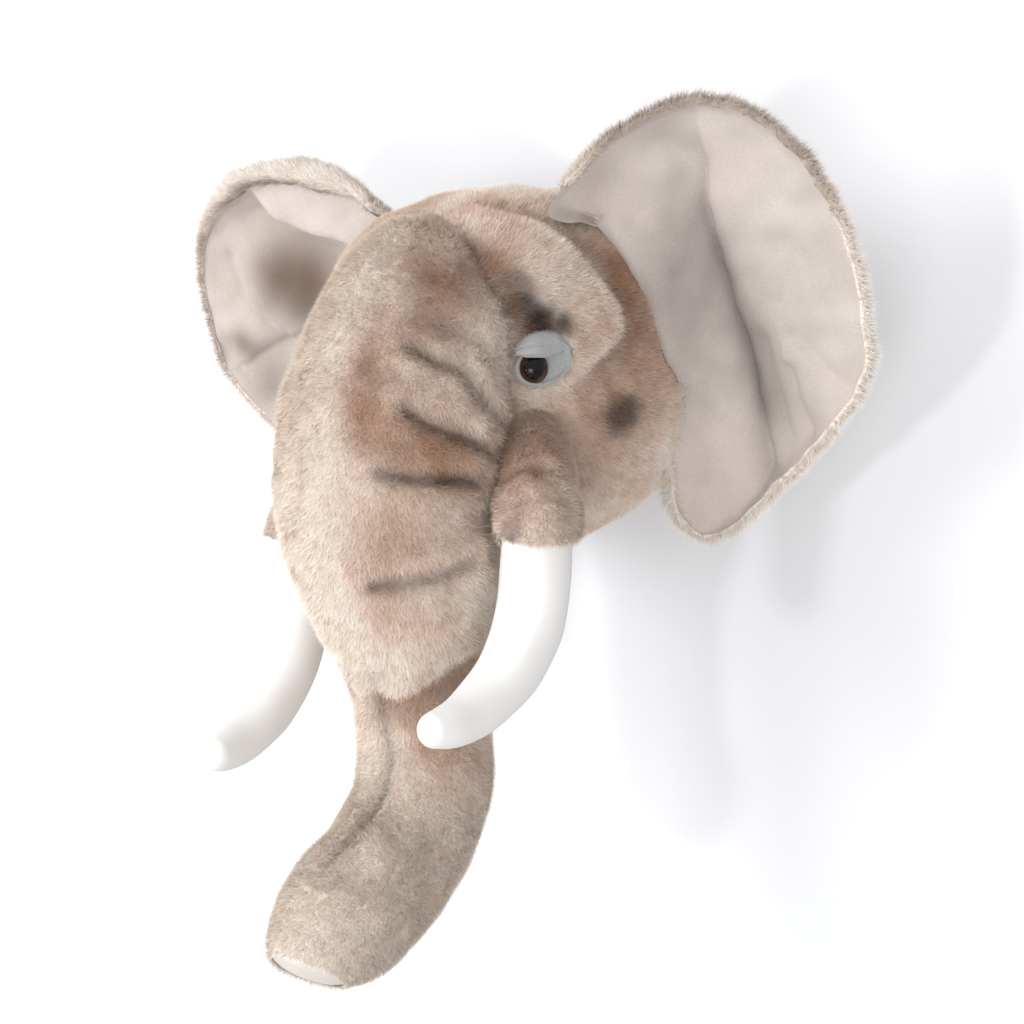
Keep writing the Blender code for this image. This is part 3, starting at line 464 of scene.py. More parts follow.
# Strengths on the head: painted shade behind the brow, a painted highlight on its edge, cream sprayed under the
# eye and painted shade on the far crown.
BEHIND_BROW_SHADE, BROW_EDGE_HIGHLIGHT, LID_PALE, FAR_CROWN_SHADE = 0.30, 0.55, 0.45, 0.6
# Where these lie: ranges ahead of the brow's edge, then a place there, round the lid, and on the crown.
BEHIND_STARTS, BEHIND_ENDS = (-0.030, -0.004), (-0.003, 0.002)
EDGE_PALE_AT, EDGE_PALE_REACH = 0.004, 0.006
BELOW_LID, LID_RING, LID_RING_REACH = (0.016, 0.026), 1.2, 0.35
CROWN_SIDE, CROWN_HEIGHT, CROWN_DEPTH = (-0.005, 0.015), (0.015, 0.045), (0.140, 0.165)
# The pile is darkened as painted shade in the valley where face and head are sewn together, but for the top of
# the forehead.
SEAM_REACH, SEAM_ON_FACE, SEAM_SHADE, SEAM_TOP_FADE = 0.0050, 0.6, 0.55, 0.8
SEAM_TOP, SEAM_TOP_SIDE = (0.042, 0.060), (-0.02, 0.0)
HEAD_UNDER_FACE = 0.006
# The head's pile is combed back, and down as well below the crown.
COMB_BACK, COMB_DOWN, CROWN_COMBED = 0.9, 0.55, (0.03, 0.08)

# The middle line and radius of the face and trunk, which the head's pile stops at: depth, height, radius.
SNOUT_STATIONS = ((0.1830, 0.0600, 0.0080), (0.1915, 0.0500, 0.0240), (0.2010, 0.0360, 0.0425),
                  (0.2110, 0.0140, 0.0540), (0.2230, -0.0140, 0.0590), (0.2345, -0.0450, 0.0600),
                  (0.2380, -0.0760, 0.0592), (0.2325, -0.1060, 0.0562), (0.2235, -0.1330, 0.0505),
                  (0.2165, -0.1560, 0.0432), (0.2140, -0.1780, 0.0375), (0.2070, -0.2000, 0.0365),
                  (0.2065, -0.2210, 0.0365), (0.2130, -0.2420, 0.0365), (0.2270, -0.2595, 0.0365),
                  (0.2470, -0.2725, 0.0365), (0.2700, -0.2835, 0.0360), (0.2890, -0.2940, 0.0330),
                  (0.3010, -0.3020, 0.0270), (0.3080, -0.3080, 0.0210))
# The forehead is wider than round and runs to a soft ridge in front: height, reach, both by how much.
FOREHEAD_LEVEL, FOREHEAD_REACH, FOREHEAD_WIDER, FOREHEAD_RIDGE = 0.010, 0.040, 0.06, 0.5
SNOUT_SEARCH, SNOUT_STEPS = 0.08, 45


def forehead(height):
    """How far a height counts as forehead: a bell about its level."""
    return bell(height, FOREHEAD_LEVEL, FOREHEAD_REACH)


def inside_snout(points):
    """How far points lie inside the face and trunk: the radius of their section less their distance in it."""
    stations = curve_through(SNOUT_STATIONS, SNOUT_STEPS)
    middle = np.stack([0 * stations[:, 0], -stations[:, 0], stations[:, 1]], -1)
    steps = np.linalg.norm(np.gradient(middle, axis=0), axis=1)
    slopes = np.gradient(stations[:, 2]) / steps
    inside, nearest = np.full(points.shape[:-1], -1.0), np.full(points.shape[:-1], np.inf)
    headings = unit(np.gradient(middle, axis=0))
    for centre, ahead, radius, slope in zip(middle, headings, stations[:, 2], slopes):
        off, ridge = points - centre, forehead(centre[2])
        across = np.abs(off[..., 0]) / (1 + FOREHEAD_WIDER * ridge)
        fore, along = np.abs(off @ np.cross(ahead, [1.0, 0.0, 0.0])), off @ ahead
        power = 2 - FOREHEAD_RIDGE * ridge
        ring = (across ** power + fore ** power) ** (1 / power)
        nearer = (np.abs(along) < nearest) & (ring < SNOUT_SEARCH)
        inside = np.where(nearer, radius + slope * along - ring, inside)
        nearest = np.where(nearer, np.abs(along), nearest)
    return inside


def inside_head(points):
    """How far points lie inside the head's bag: its oval at their depth, less their own place in it."""
    stations = np.array(HEAD_STATIONS)
    depth = -points[..., 1]
    wide, tall, level = (np.interp(depth, stations[:, 0], stations[:, k]) for k in (1, 2, 3))
    reach = (np.abs(points[..., 0] / wide) ** HEAD_POWER
             + np.abs((points[..., 2] - level) / tall) ** HEAD_POWER)
    return np.where(depth < stations[-1, 0], (1 - reach ** (1 / HEAD_POWER)) * wide, -1.0)


# The felt patch round each eye is bare of pile: its middle, half length and half height, and how deep it sits.
EYE_PLACE = np.array([0.0652, -0.2050, -0.0140])
CHEEK_BACK, CHEEK_OUT = np.array([0.65, 0.76, 0.0]), np.array([0.76, -0.65, 0.0])
LID_BACK, LID_UP, LID_TILT = 0.0060, 0.0030, np.radians(20)
LID_HALF_LENGTH, LID_HALF_HEIGHT, LID_HALF_DEPTH = 0.0180, 0.0122, 0.05
LID_PLACE = EYE_PLACE + CHEEK_BACK * LID_BACK + [0, 0, LID_UP]
SOCKET_DEPTH = 0.0040
LID_BARE, LID_RAGGED, LID_RAG_SIZE = 0.90, 0.06, 0.008


def beside_lid(points):
    """How far points lie from the nearer eye's felt patch, 1 at its edge: a tilted oval's level-over radius."""
    off = folded(points) - LID_PLACE
    back, out = off @ CHEEK_BACK, off @ CHEEK_OUT
    long = back * np.cos(LID_TILT) + off[..., 2] * np.sin(LID_TILT)
    tall = off[..., 2] * np.cos(LID_TILT) - back * np.sin(LID_TILT)
    return np.sqrt((long / LID_HALF_LENGTH) ** 2 + (tall / LID_HALF_HEIGHT) ** 2
                   + (out / LID_HALF_DEPTH) ** 2)


head_rows = curve_through(HEAD_STATIONS, HEAD_ROWS)[:, :, None]
turn = np.linspace(0, 2 * np.pi, HEAD_COLUMNS)
head_x, head_z = superellipse(turn, head_rows[:, 1] - PILE_HEIGHT, head_rows[:, 2] - PILE_HEIGHT, HEAD_POWER)
head_points = np.stack([head_x, np.repeat(-head_rows[:, 0], HEAD_COLUMNS, 1), head_rows[:, 3] + head_z], -1)
head_out = facing(head_points, True)
# The brow's step rises over a few millimetres at its edge and falls away ahead of it, up to the crown.
height = head_points[..., 2]
brow_heights, brow_depths = curve_through(BROW_EDGE, BROW_EDGE_STEPS).T
ahead_of_brow = -head_points[..., 1] - np.interp(height, brow_heights, brow_depths)
brow_share = between(height, BROW_BOTTOM, BROW_TOP)
brow_rise = smooth(ahead_of_brow, *BROW_RISES) - BROW_FALL * smooth(ahead_of_brow, *BROW_FALLS)
head_points = head_points + head_out * (BROW_STEP * brow_share * brow_rise)[..., None]
head_points = head_points - head_out * (SOCKET_DEPTH * np.exp(-beside_lid(head_points) ** 2))[..., None]
head_points = head_points + head_out * (HEAD_LUMP * ripple(head_points, HEAD_LUMP_SIZE, 21))[..., None]
head_out = facing(head_points, True)

x, depth, height = head_points[..., 0], -head_points[..., 1], head_points[..., 2]
head_colour = plush_colour(head_points)
# Painted shade behind the brow's edge, in the seam's valley and on the far crown; a painted highlight on the
# brow's edge; cream sprayed under the eye.
shade_behind_brow = between(ahead_of_brow, BEHIND_STARTS, BEHIND_ENDS)
head_colour = head_colour * (1 - BEHIND_BROW_SHADE * brow_share * shade_behind_brow)[..., None]
at_seam = bell(inside_snout(head_points), 0, SEAM_REACH)
at_seam = at_seam * (1 - SEAM_TOP_FADE * smooth(height, *SEAM_TOP) * smooth(x, *SEAM_TOP_SIDE))
head_colour = tinted(head_colour, SEAM_SHADE_TINT, SEAM_SHADE * at_seam)
shaded_far_crown = smooth(-x, *CROWN_SIDE) * smooth(height, *CROWN_HEIGHT) * smooth(depth, *CROWN_DEPTH)
head_colour = tinted(head_colour, DEEP_BROWN, FAR_CROWN_SHADE * shaded_far_crown)
highlight_on_brow_edge = brow_share * bell(ahead_of_brow, EDGE_PALE_AT, EDGE_PALE_REACH)
below_lid = smooth(-height, *BELOW_LID) * bell(beside_lid(head_points), LID_RING, LID_RING_REACH)
head_colour = tinted(head_colour, CREAM, BROW_EDGE_HIGHLIGHT * highlight_on_brow_edge + LID_PALE * below_lid)

head_skin = skin("head_cloth", head_points, head_colour * CLOTH_PAINTED_SHADE)
head_skin.data.materials.append(fawn_plush)
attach(head_skin, "head")
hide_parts("head_skin", "head_filling", "brow_left", "brow_right")

at = scatter(head_points, PILE_PER_AREA, 1)
roots, out, colour = read(head_points, at), read(head_out, at), read(head_colour, at)
ragged = LID_BARE + LID_RAGGED * ripple(roots, LID_RAG_SIZE, 26)
shown = (inside_snout(roots) < HEAD_UNDER_FACE) & (beside_lid(roots) > ragged)
roots, out, colour = roots[shown], unit(out[shown]), colour[shown]
crown = smooth(roots[:, 2], *CROWN_COMBED)
comb = np.stack([0 * crown, COMB_BACK + 0 * crown, -COMB_DOWN * (1 - crown)], -1)
for strands in pile("head_pile", roots, out, comb, colour, PILE_LENGTH, 31):
    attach(strands, "head")


# Face and trunk: two halves of fawn plush sewn along the front, stuffed and curled forward at the end, with
# the wrinkles pinched by hand stitches. The cloth bends below the face where the trunk swings.

SNOUT_ROWS, SNOUT_COLUMNS = 330, 201
# Rows over which the tip's cut turns oblique, the front seam runs out and the pile turns pale, partly its own
# cream and partly painted light.
TIP_ROWS, SEAM_END_ROWS, PALE_ROWS = (300, 329), (285, 312), (210, 285)
TIP_SLANT, TIP_CREAM_AND_PAINTED_LIGHT = 0.25, 0.95
FRONT_SEAM_DEPTH, FRONT_SEAM_REACH, FRONT_SEAM_SHADE = 0.0040, 0.0042, 0.38
FRONT_SEAM_ON_FACE, TRUNK_SETS_IN = 0.05, (0.150, 0.185)
WRINKLE_REACH, FOLD_SWELL, FOLD_PLACE, FOLD_REACH = 0.0036, 0.0022, 0.010, 0.006
WRINKLED_SIDE = (-0.010, 0.004)
SNOUT_LUMP, SNOUT_LUMP_SIZE = 0.0008, 0.028
# The lower edge of the face's panel, which stands over the trunk's root: distance from the middle and height.
MUZZLE_EDGE = ((0.000, -0.176), (0.013, -0.179), (0.025, -0.172), (0.037, -0.161), (0.045, -0.150),
               (0.051, -0.131), (0.056, -0.107))
MUZZLE_STEP, MUZZLE_SHADE, MUZZLE_FAR_SIDE = 0.0032, 0.65, 0.4
# Ranges below that edge over which its step and its shade set in and run out, and round to the snout's front.
STEP_SETS_IN, STEP_RUNS_OUT = (-0.002, 0.003), (0.008, 0.045)
SHADE_SETS_IN, SHADE_RUNS_OUT = (-0.001, 0.003), (0.005, 0.028)
FRONT_SETS_IN = (-0.3, 0.2)
FACE_UNDER_HEAD = 0.005

snout_rows = curve_through(SNOUT_STATIONS, SNOUT_ROWS)
row_number = np.arange(SNOUT_ROWS)
middle = np.stack([np.zeros(SNOUT_ROWS), -snout_rows[:, 0], snout_rows[:, 1]], -1)
ahead = unit(np.gradient(middle, axis=0))
front = np.cross(ahead, [1.0, 0.0, 0.0])
turn = np.linspace(0, 2 * np.pi, SNOUT_COLUMNS) - np.pi / 2
ridge = forehead(snout_rows[:, 1:2])
across, fore = superellipse(turn, 1 + FOREHEAD_WIDER * ridge, 1.0, 2 - FOREHEAD_RIDGE * ridge)
round_about = across[..., None] * [1.0, 0.0, 0.0] + fore[..., None] * front[:, None]
snout_radius = snout_rows[:, 2] - PILE_HEIGHT
snout_points = middle[:, None] + round_about * snout_radius[:, None, None]
oblique = TIP_SLANT * smooth(row_number, *TIP_ROWS) * snout_radius
snout_points = snout_points + ahead[:, None] * (oblique[:, None] * np.sin(turn))[..., None]

both_sides = folded(snout_points)
left_side = smooth(snout_points[..., 0], *WRINKLED_SIDE)
sunk = np.zeros(snout_points.shape[:2])
for line, depth, strength in WRINKLES:
    apart = near_line(both_sides, line)
    pinch = depth * bell(apart, 0, WRINKLE_REACH) - FOLD_SWELL * bell(apart, FOLD_PLACE, FOLD_REACH)
    sunk = sunk + pinch * from_least(FAR_SIDE_WRINKLES, left_side)
on_trunk = smooth(-snout_points[..., 2], *TRUNK_SETS_IN) * (1 - smooth(row_number, *SEAM_END_ROWS)[:, None])
seam = np.exp(-both_sides[..., 0] / FRONT_SEAM_REACH) * (np.sin(turn)[None] > 0)
sunk = sunk + FRONT_SEAM_DEPTH * seam * from_least(FRONT_SEAM_ON_FACE, on_trunk)
below_edge = np.interp(both_sides[..., 0], *np.transpose(MUZZLE_EDGE)) - snout_points[..., 2]
in_front = smooth(np.sin(turn), *FRONT_SETS_IN) * from_least(MUZZLE_FAR_SIDE, left_side)
muzzle_step = between(below_edge, STEP_SETS_IN, STEP_RUNS_OUT)
sunk = sunk + MUZZLE_STEP * in_front * muzzle_step
snout_points = snout_points - round_about * sunk[..., None]
snout_points = snout_points + round_about * (SNOUT_LUMP * ripple(snout_points, SNOUT_LUMP_SIZE, 22))[..., None]
snout_out = facing(snout_points, True)

snout_colour = plush_colour(snout_points)
# Painted shade under the edge of the face's panel, where it stands over the trunk.
shade_under_edge = in_front * between(below_edge, SHADE_SETS_IN, SHADE_RUNS_OUT)
snout_colour = tinted(snout_colour, MUZZLE_SHADE_TINT, MUZZLE_SHADE * shade_under_edge)
snout_colour = tinted(snout_colour, CREAM, TIP_CREAM_AND_PAINTED_LIGHT * smooth(row_number, *PALE_ROWS)[:, None])
# Painted shade along the front seam's groove on the trunk.
snout_colour = snout_colour * (1 - FRONT_SEAM_SHADE * seam * on_trunk)[..., None]
# Painted shade in the valley where the face meets the head.
at_seam = bell(inside_head(snout_points), 0, SEAM_ON_FACE * SEAM_REACH)
at_seam = at_seam * (1 - SEAM_TOP_FADE * smooth(snout_points[..., 2], *SEAM_TOP))
snout_colour = tinted(snout_colour, SEAM_SHADE_TINT, SEAM_SHADE * at_seam)

snout_skin = skin("face_and_trunk_cloth", snout_points, snout_colour * CLOTH_PAINTED_SHADE)
snout_skin.data.materials.append(fawn_plush)
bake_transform(snout_skin)
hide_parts("face_skin", "trunk_skin", "trunk_filling")

at = scatter(snout_points, PILE_PER_AREA, 2)
roots, out, colour = read(snout_points, at), read(snout_out, at), read(snout_colour, at)
comb = read(np.repeat(ahead[:, None], SNOUT_COLUMNS, 1), at)
shown = inside_head(roots) < FACE_UNDER_HEAD
for strands in pile("face_and_trunk_pile", roots[shown], unit(out[shown]), comb[shown], colour[shown],
                    PILE_LENGTH, 32):
    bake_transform(strands)


# Trunk tip pad: a round of pale suede cloth sewn over the trunk's open end and lightly padded, so that it
# rises in the middle.

TIP_PAD_RADIUS, TIP_PAD_RISE = 0.0200, 0.0055
TIP_INSET, TIP_PAD_RINGS, TIP_PAD_COLUMNS = 0.0030, 24, 73

out_of_tip, tip_middle = unit(ahead[-1] - TIP_SLANT * front[-1]), middle[-1]
spread = np.linspace(0, 1, TIP_PAD_RINGS)[:, None]
turn = np.linspace(0, 2 * np.pi, TIP_PAD_COLUMNS)
tip_side = np.array([1.0, 0.0, 0.0])
tip_front = np.cross(out_of_tip, tip_side)
radius = (TIP_PAD_RADIUS * (1 - spread))[..., None]
pad_points = (tip_middle - out_of_tip * TIP_INSET
              + radius * (np.cos(turn)[None, :, None] * tip_side
                          + np.sin(turn)[None, :, None] * tip_front)
              + out_of_tip * (TIP_PAD_RISE * np.sqrt(1 - (1 - spread) ** 2))[..., None])
tip_pad = skin("trunk_tip_pad_cloth", pad_points, np.ones(pad_points.shape))

SUEDE_NAP, SUEDE_BRUSHED = 1.2 * MILLIMETRE, 36 * MILLIMETRE


def suede(name, dark, light):
    """Brushed suede cloth: matt, its nap in lighter and darker flecks, times the attribute's colour, which on
    the ear linings is painted light and shade.
    """
    made, tree, shader = new_material(name)
    place = add(tree, "ShaderNodeTexCoord", {})
    nap = add(tree, "ShaderNodeTexNoise",
              {"Vector": place.outputs["Object"], "Scale": 1 / SUEDE_NAP, "Detail": 4.0, "Roughness": 0.7})
    brushed = add(tree, "ShaderNodeTexNoise",
                  {"Vector": place.outputs["Object"], "Scale": 1 / SUEDE_BRUSHED, "Detail": 2.0})
    mixed = add(tree, "ShaderNodeMath", {0: nap.outputs["Fac"], 1: brushed.outputs["Fac"]},
                operation="ADD")
    halved = add(tree, "ShaderNodeMath", {0: mixed.outputs["Value"], 1: 0.5}, operation="MULTIPLY")
    tone = add(tree, "ShaderNodeValToRGB", {"Fac": halved.outputs["Value"]})
    tone.color_ramp.elements[0].position = 0.30
    tone.color_ramp.elements[1].position = 0.70
    tone.color_ramp.elements[0].color = linear(dark)
    tone.color_ramp.elements[1].color = linear(light)
    relief = add(tree, "ShaderNodeBump",
                 {"Height": nap.outputs["Fac"], "Strength": 0.25, "Distance": 0.3 * MILLIMETRE})
    colour_and_shade = add(tree, "ShaderNodeAttribute", {}, attribute_name="colour_and_painted_shade")
    toned_and_shaded = add(tree, "ShaderNodeMix",
               {"Factor": 1.0, 6: tone.outputs["Color"], 7: colour_and_shade.outputs["Color"]},
               data_type="RGBA", blend_type="MULTIPLY")
    feed(tree, shader, {"Base Color": toned_and_shaded.outputs[2], "Roughness": 0.9, "Normal": relief.outputs["Normal"],
                        "Sheen Weight": 0.15, "Specular IOR Level": 0.2})
    return made


tip_pad.data.materials.append(suede("pale_suede", "#d0c8c1", "#e2dbd5"))
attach(tip_pad, "trunk")
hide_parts("trunk_tip_pad")


# Tusk sleeves: a plush cuff on each side of the face, sewn to the cheek at its top and turned in at its rim,
# where the tusk comes out. The right one is sewn a little closer in, further back and lower.

RIGHT_ROOT_SHIFT = np.array([-0.012, -0.012, -0.010])
RIGHT_TIP_SHIFT = np.array([0.006, -0.004, -0.025])
# Side, depth, height and radius along each tusk, from its root in the sleeve to its tip.
TUSK_STATIONS = ((0.0830, 0.2290, -0.0980, 0.0172), (0.0805, 0.2270, -0.1130, 0.0176),
                 (0.0790, 0.2265, -0.1280, 0.0178), (0.0770, 0.2290, -0.1430, 0.0178),
                 (0.0745, 0.2380, -0.1590, 0.0166), (0.0715, 0.2530, -0.1725, 0.0147),
                 (0.0690, 0.2720, -0.1815, 0.0127), (0.0670, 0.2880, -0.1850, 0.0104),
                 (0.0655, 0.2955, -0.1855, 0.0085))
TUSK_TIP_LENGTH, TUSK_TIP_START = 0.0085, np.radians(15)
TUSK_RINGS, ROOT_STRETCH = 90, 6
SLEEVE_TOP = np.array([0.0490, 0.1850, -0.0330])
SLEEVE_TOP_RADIUS, SLEEVE_RIM_RADIUS = 0.0125, 0.0230
SLEEVE_BULGE, SLEEVE_BOW = 0.0025, 0.002
# The cuff's fold and the swell below it: by how much, their places and reaches as shares of the sleeve.
CUFF_FOLD, FOLD_AT, FOLD_WIDE = 0.0026, 0.72, 0.05
CUFF_SWELL, SWELL_AT, SWELL_WIDE = 0.3, 0.88, 0.08
SLEEVE_LIP, LIP_ROLL, LIP_TUCK, LIP_GAP, LIP_PATH = -0.0050, 0.0015, 0.006, 0.0005, 0.0001
SLEEVE_RINGS, LIP_RINGS, SLEEVE_COLUMNS = 60, 9, 121
SLEEVE_LUMP, SLEEVE_LUMP_SIZE = 0.0008, 0.020
SLEEVE_BROWN, CUFF_BROWN, RIM_SMUDGE, SMUDGE_SIZE = 0.35, 0.15, 0.14, 0.016
CUFF_FROM, SMUDGE_FROM, SMUDGE_PATCHY = (0.64, 0.74), (0.90, 0.98), (-0.2, 0.9)
SLEEVE_PILE_HEIGHT, SLEEVE_PILE_LENGTH, LIP_WITH_PILE = PILE_HEIGHT * 0.7, PILE_LENGTH * 0.8, 4
UNDER_CHEEK = 0.004
HANDS = ((1, "left"), (-1, "right"))
TRIED_RING = 20


def tube_about(path, radii, turn):
    """Rings of given radii square to a path: the side direction is the path's own, turned upright to it."""
    along = unit(np.gradient(path, axis=0))
    side = unit(np.array([1.0, 0.0, 0.0]) - along * along[:, :1])
    fore = np.cross(along, side)
    return path[:, None] + radii[:, None, None] * (np.cos(turn)[None, :, None] * side[:, None]
                                                   + np.sin(turn)[None, :, None] * fore[:, None])


def turned_out(points, path):
    """A tube with its columns in the order that makes its faces look away from its path, tried at one face."""
    here, beside, below = points[TRIED_RING, 0], points[TRIED_RING, 1], points[TRIED_RING + 1, 0]
    inward = np.cross(beside - here, below - here) @ (here - path[TRIED_RING]) < 0
    return points[:, ::-1] if inward else points


def tusk_line(side):
    """A tusk's stations as points in the frame with their radii.

    The right one's shift passes from its root's to its tip's, fastest at the root.
    """
    stations = np.array(TUSK_STATIONS)
    if side < 0:
        share = 1 - np.linspace(1, 0, len(stations))[:, None] ** 2
        stations[:, :3] += (1 - share) * RIGHT_ROOT_SHIFT + share * RIGHT_TIP_SHIFT
    stations = curve_through(stations, TUSK_RINGS)
    return stations[:, :3] * [side, -1, 1], stations[:, 3]


for side, hand in HANDS:
    line, radii = tusk_line(side)
    top = (SLEEVE_TOP + (RIGHT_ROOT_SHIFT if side < 0 else 0)) * [side, -1, 1]
    heading = unit(line[ROOT_STRETCH] - line[0])
    rim = line[0] + heading * SLEEVE_LIP
    bowed = (top + rim) / 2 + [side * SLEEVE_BOW, -SLEEVE_BOW, 0]
    sleeve_path = curve_through([top, bowed, rim], SLEEVE_RINGS)
    share = np.linspace(0, 1, SLEEVE_RINGS)
    sleeve_radii = (SLEEVE_TOP_RADIUS + (SLEEVE_RIM_RADIUS - SLEEVE_TOP_RADIUS) * share
                    + SLEEVE_BULGE * np.sin(np.pi * share)) - SLEEVE_PILE_HEIGHT
    sleeve_radii = sleeve_radii + CUFF_FOLD * (CUFF_SWELL * bell(share, SWELL_AT, SWELL_WIDE)
                                               - bell(share, FOLD_AT, FOLD_WIDE))
    # The lip goes on from the rim, rolls over and runs back inside to the tusk. Its rings stand on a path so
    # short that it only gives them their direction.
    turned_in = np.linspace(0, 1, LIP_RINGS + 1)[1:]
    lip_rise = LIP_ROLL * np.sin(np.pi * turned_in) - LIP_TUCK * turned_in ** 2
    lip_radii = sleeve_radii[-1] + (radii[0] - LIP_GAP - sleeve_radii[-1]) * turned_in
    turn = np.linspace(0, 2 * np.pi, SLEEVE_COLUMNS)
    body = tube_about(sleeve_path, sleeve_radii, turn)
    lip = tube_about(rim + heading * np.linspace(0, LIP_PATH, LIP_RINGS)[:, None], lip_radii, turn)
    lip = lip + (heading * lip_rise[:, None])[:, None]
    sleeve_points = turned_out(np.concatenate([body, lip]), sleeve_path)
    lumps = SLEEVE_LUMP * ripple(sleeve_points, SLEEVE_LUMP_SIZE, 23)
    sleeve_points = sleeve_points + facing(sleeve_points, True) * lumps[..., None]
    sleeve_out = facing(sleeve_points, True)
    down_sleeve = np.r_[share, np.ones(LIP_RINGS)][:, None]
    browned = SLEEVE_BROWN + (CUFF_BROWN - SLEEVE_BROWN) * smooth(down_sleeve, *CUFF_FROM)
    sleeve_colour = tinted(plush_colour(sleeve_points), DEEP_BROWN, browned)
    patchy = smooth(ripple(sleeve_points, SMUDGE_SIZE, 28), *SMUDGE_PATCHY)
    smudge = patchy * smooth(down_sleeve, *SMUDGE_FROM)
    sleeve_colour = tinted(sleeve_colour, GREY, RIM_SMUDGE * smudge)
    sleeve = skin(f"tusk_sleeve_{hand}_cloth", sleeve_points, sleeve_colour * CLOTH_PAINTED_SHADE)
    sleeve.data.materials.append(fawn_plush)
    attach(sleeve, "head")
    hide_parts(f"tusk_sleeve_{hand}")
    at = scatter(sleeve_points[:SLEEVE_RINGS + LIP_WITH_PILE], PILE_PER_AREA, 3)
    roots, out, colour = read(sleeve_points, at), read(sleeve_out, at), read(sleeve_colour, at)
    shown = (inside_head(roots) < UNDER_CHEEK) & (inside_snout(roots) < UNDER_CHEEK)
    comb = np.repeat(heading[None], shown.sum(), 0)
    for strands in pile(f"tusk_sleeve_{hand}_pile", roots[shown], unit(out[shown]), comb, colour[shown],
                        SLEEVE_PILE_LENGTH, 33):
        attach(strands, "head")


# Tusks: curved tubes of white velour, closed to a round tip and stuffed hard. Each is pushed into its sleeve
# and stitched there.

TUSK_IN_SLEEVE, IN_SLEEVE_RINGS = 0.012, 5
CAP_RINGS, TIP_STRETCH, TUSK_COLUMNS = 12, 4, 81
TUSK_LUMP, TUSK_LUMP_SIZE, LEAST_LUMPY = 0.0003, 0.030, 0.002
VELOUR_NAP = 0.8 * MILLIMETRE
# Shorn velour: matt white with a very fine nap and a soft sheen at the edges.
white_velour = napped_cloth("white_velour", VELOUR_NAP, (3.0, 0.6), "#e6e4e2", "#f1efed",
                            (0.2, 0.3 * MILLIMETRE),
                            {"Roughness": 0.9, "Sheen Weight": 0.15, "Specular IOR Level": 0.2})

for side, hand in HANDS:
    line, radii = tusk_line(side)
    closing = np.linspace(TUSK_TIP_START, np.pi / 2, CAP_RINGS)[1:]
    heading = unit(line[-1] - line[-TIP_STRETCH])
    into_sleeve = np.linspace(TUSK_IN_SLEEVE, 0, IN_SLEEVE_RINGS + 1)[:-1, None]
    in_sleeve = line[0] - unit(line[ROOT_STRETCH] - line[0]) * into_sleeve
    cap = line[-1] + heading * (TUSK_TIP_LENGTH * (np.sin(closing) - np.sin(TUSK_TIP_START)))[:, None]
    line = np.concatenate([in_sleeve, line, cap])
    radii = np.concatenate([radii[:1].repeat(IN_SLEEVE_RINGS), radii,
                            radii[-1] * np.cos(closing) / np.cos(TUSK_TIP_START)])
    tusk_points = turned_out(tube_about(line, radii, np.linspace(0, 2 * np.pi, TUSK_COLUMNS)), line)
    lumps = TUSK_LUMP * ripple(tusk_points, TUSK_LUMP_SIZE, 24) * (radii > LEAST_LUMPY)[:, None]
    tusk_points = tusk_points + facing(tusk_points, True) * lumps[..., None]
    tusk = skin(f"tusk_{hand}_cloth", tusk_points)
    tusk.data.materials.append(white_velour)
    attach(tusk, f"{hand}_tusk")
    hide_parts(f"tusk_skin_{hand}", f"tusk_filling_{hand}")


# Eyes: domes of clear plastic 16 mm across over a brown iris and black pupil, each on a shank that a washer
# locks inside the head.

EYE_RADIUS, EYE_DOME, EYE_SEAT = 0.0080, 0.0068, 0.0008
EYE_RINGS, EYE_COLUMNS = 30, 65
EYE_FACING = unit(np.array([0.66, -0.75, 0.02]))
eye_plastic, tree, shader = new_material("brown_eye_plastic")
# Moulded plastic painted behind: very glossy, a black pupil, a brown iris and a darker rim.
map_place = add(tree, "ShaderNodeUVMap", {}, uv_map="OFBake")
parts = add(tree, "ShaderNodeSeparateXYZ", {"Vector": map_place.outputs["UV"]})
rings = add(tree, "ShaderNodeValToRGB", {"Fac": parts.outputs["Y"]})
rings.color_ramp.elements[0].color = linear("#0b0908")
rings.color_ramp.elements[1].color = linear("#1b120c")
for position, tint in ((0.44, "#0d0a09"), (0.52, "#3b2415"), (0.78, "#523620"), (0.93, "#2c1b11")):
    rings.color_ramp.elements.new(position).color = linear(tint)
feed(tree, shader, {"Base Color": rings.outputs["Color"], "Roughness": 0.03, "Specular IOR Level": 0.22})

spread = np.linspace(0, 1, EYE_RINGS)[:, None]
turn = np.linspace(0, 2 * np.pi, EYE_COLUMNS)
for side, hand in HANDS:
    out_of_eye = EYE_FACING * [side, 1, 1]
    eye_along = unit(np.cross([0.0, 0.0, 1.0], out_of_eye))
    eye_up = np.cross(out_of_eye, eye_along)
    lean = spread * np.pi / 2
    ring = EYE_RADIUS * np.sin(lean)
    eye_points = (EYE_PLACE * [side, 1, 1] + out_of_eye * (EYE_SEAT + EYE_DOME * np.cos(lean))[..., None]
                  + (ring * np.cos(turn))[..., None] * eye_along + (ring * np.sin(turn))[..., None] * eye_up)
    eye = skin(f"eye_{hand}_dome", eye_points[:, ::-1])
    eye.data.materials.append(eye_plastic)
    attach(eye, "head")
    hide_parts(f"eye_{hand}", f"eye_washer_{hand}")


# Eyelids: a patch of pale grey felt glued under each eye, and a hood of the same felt that is folded once and
# stands over the eye's upper half.

# Brushed felt: matt, cool grey, with a fine fuzzy grain.
grey_felt = napped_cloth("grey_felt", FELT_TUFT, (5.0, 0.75), "#787a7b", "#c4c5c5", (0.8, 0.5 * MILLIMETRE),
                         {"Roughness": 0.95, "Sheen Weight": 0.3})

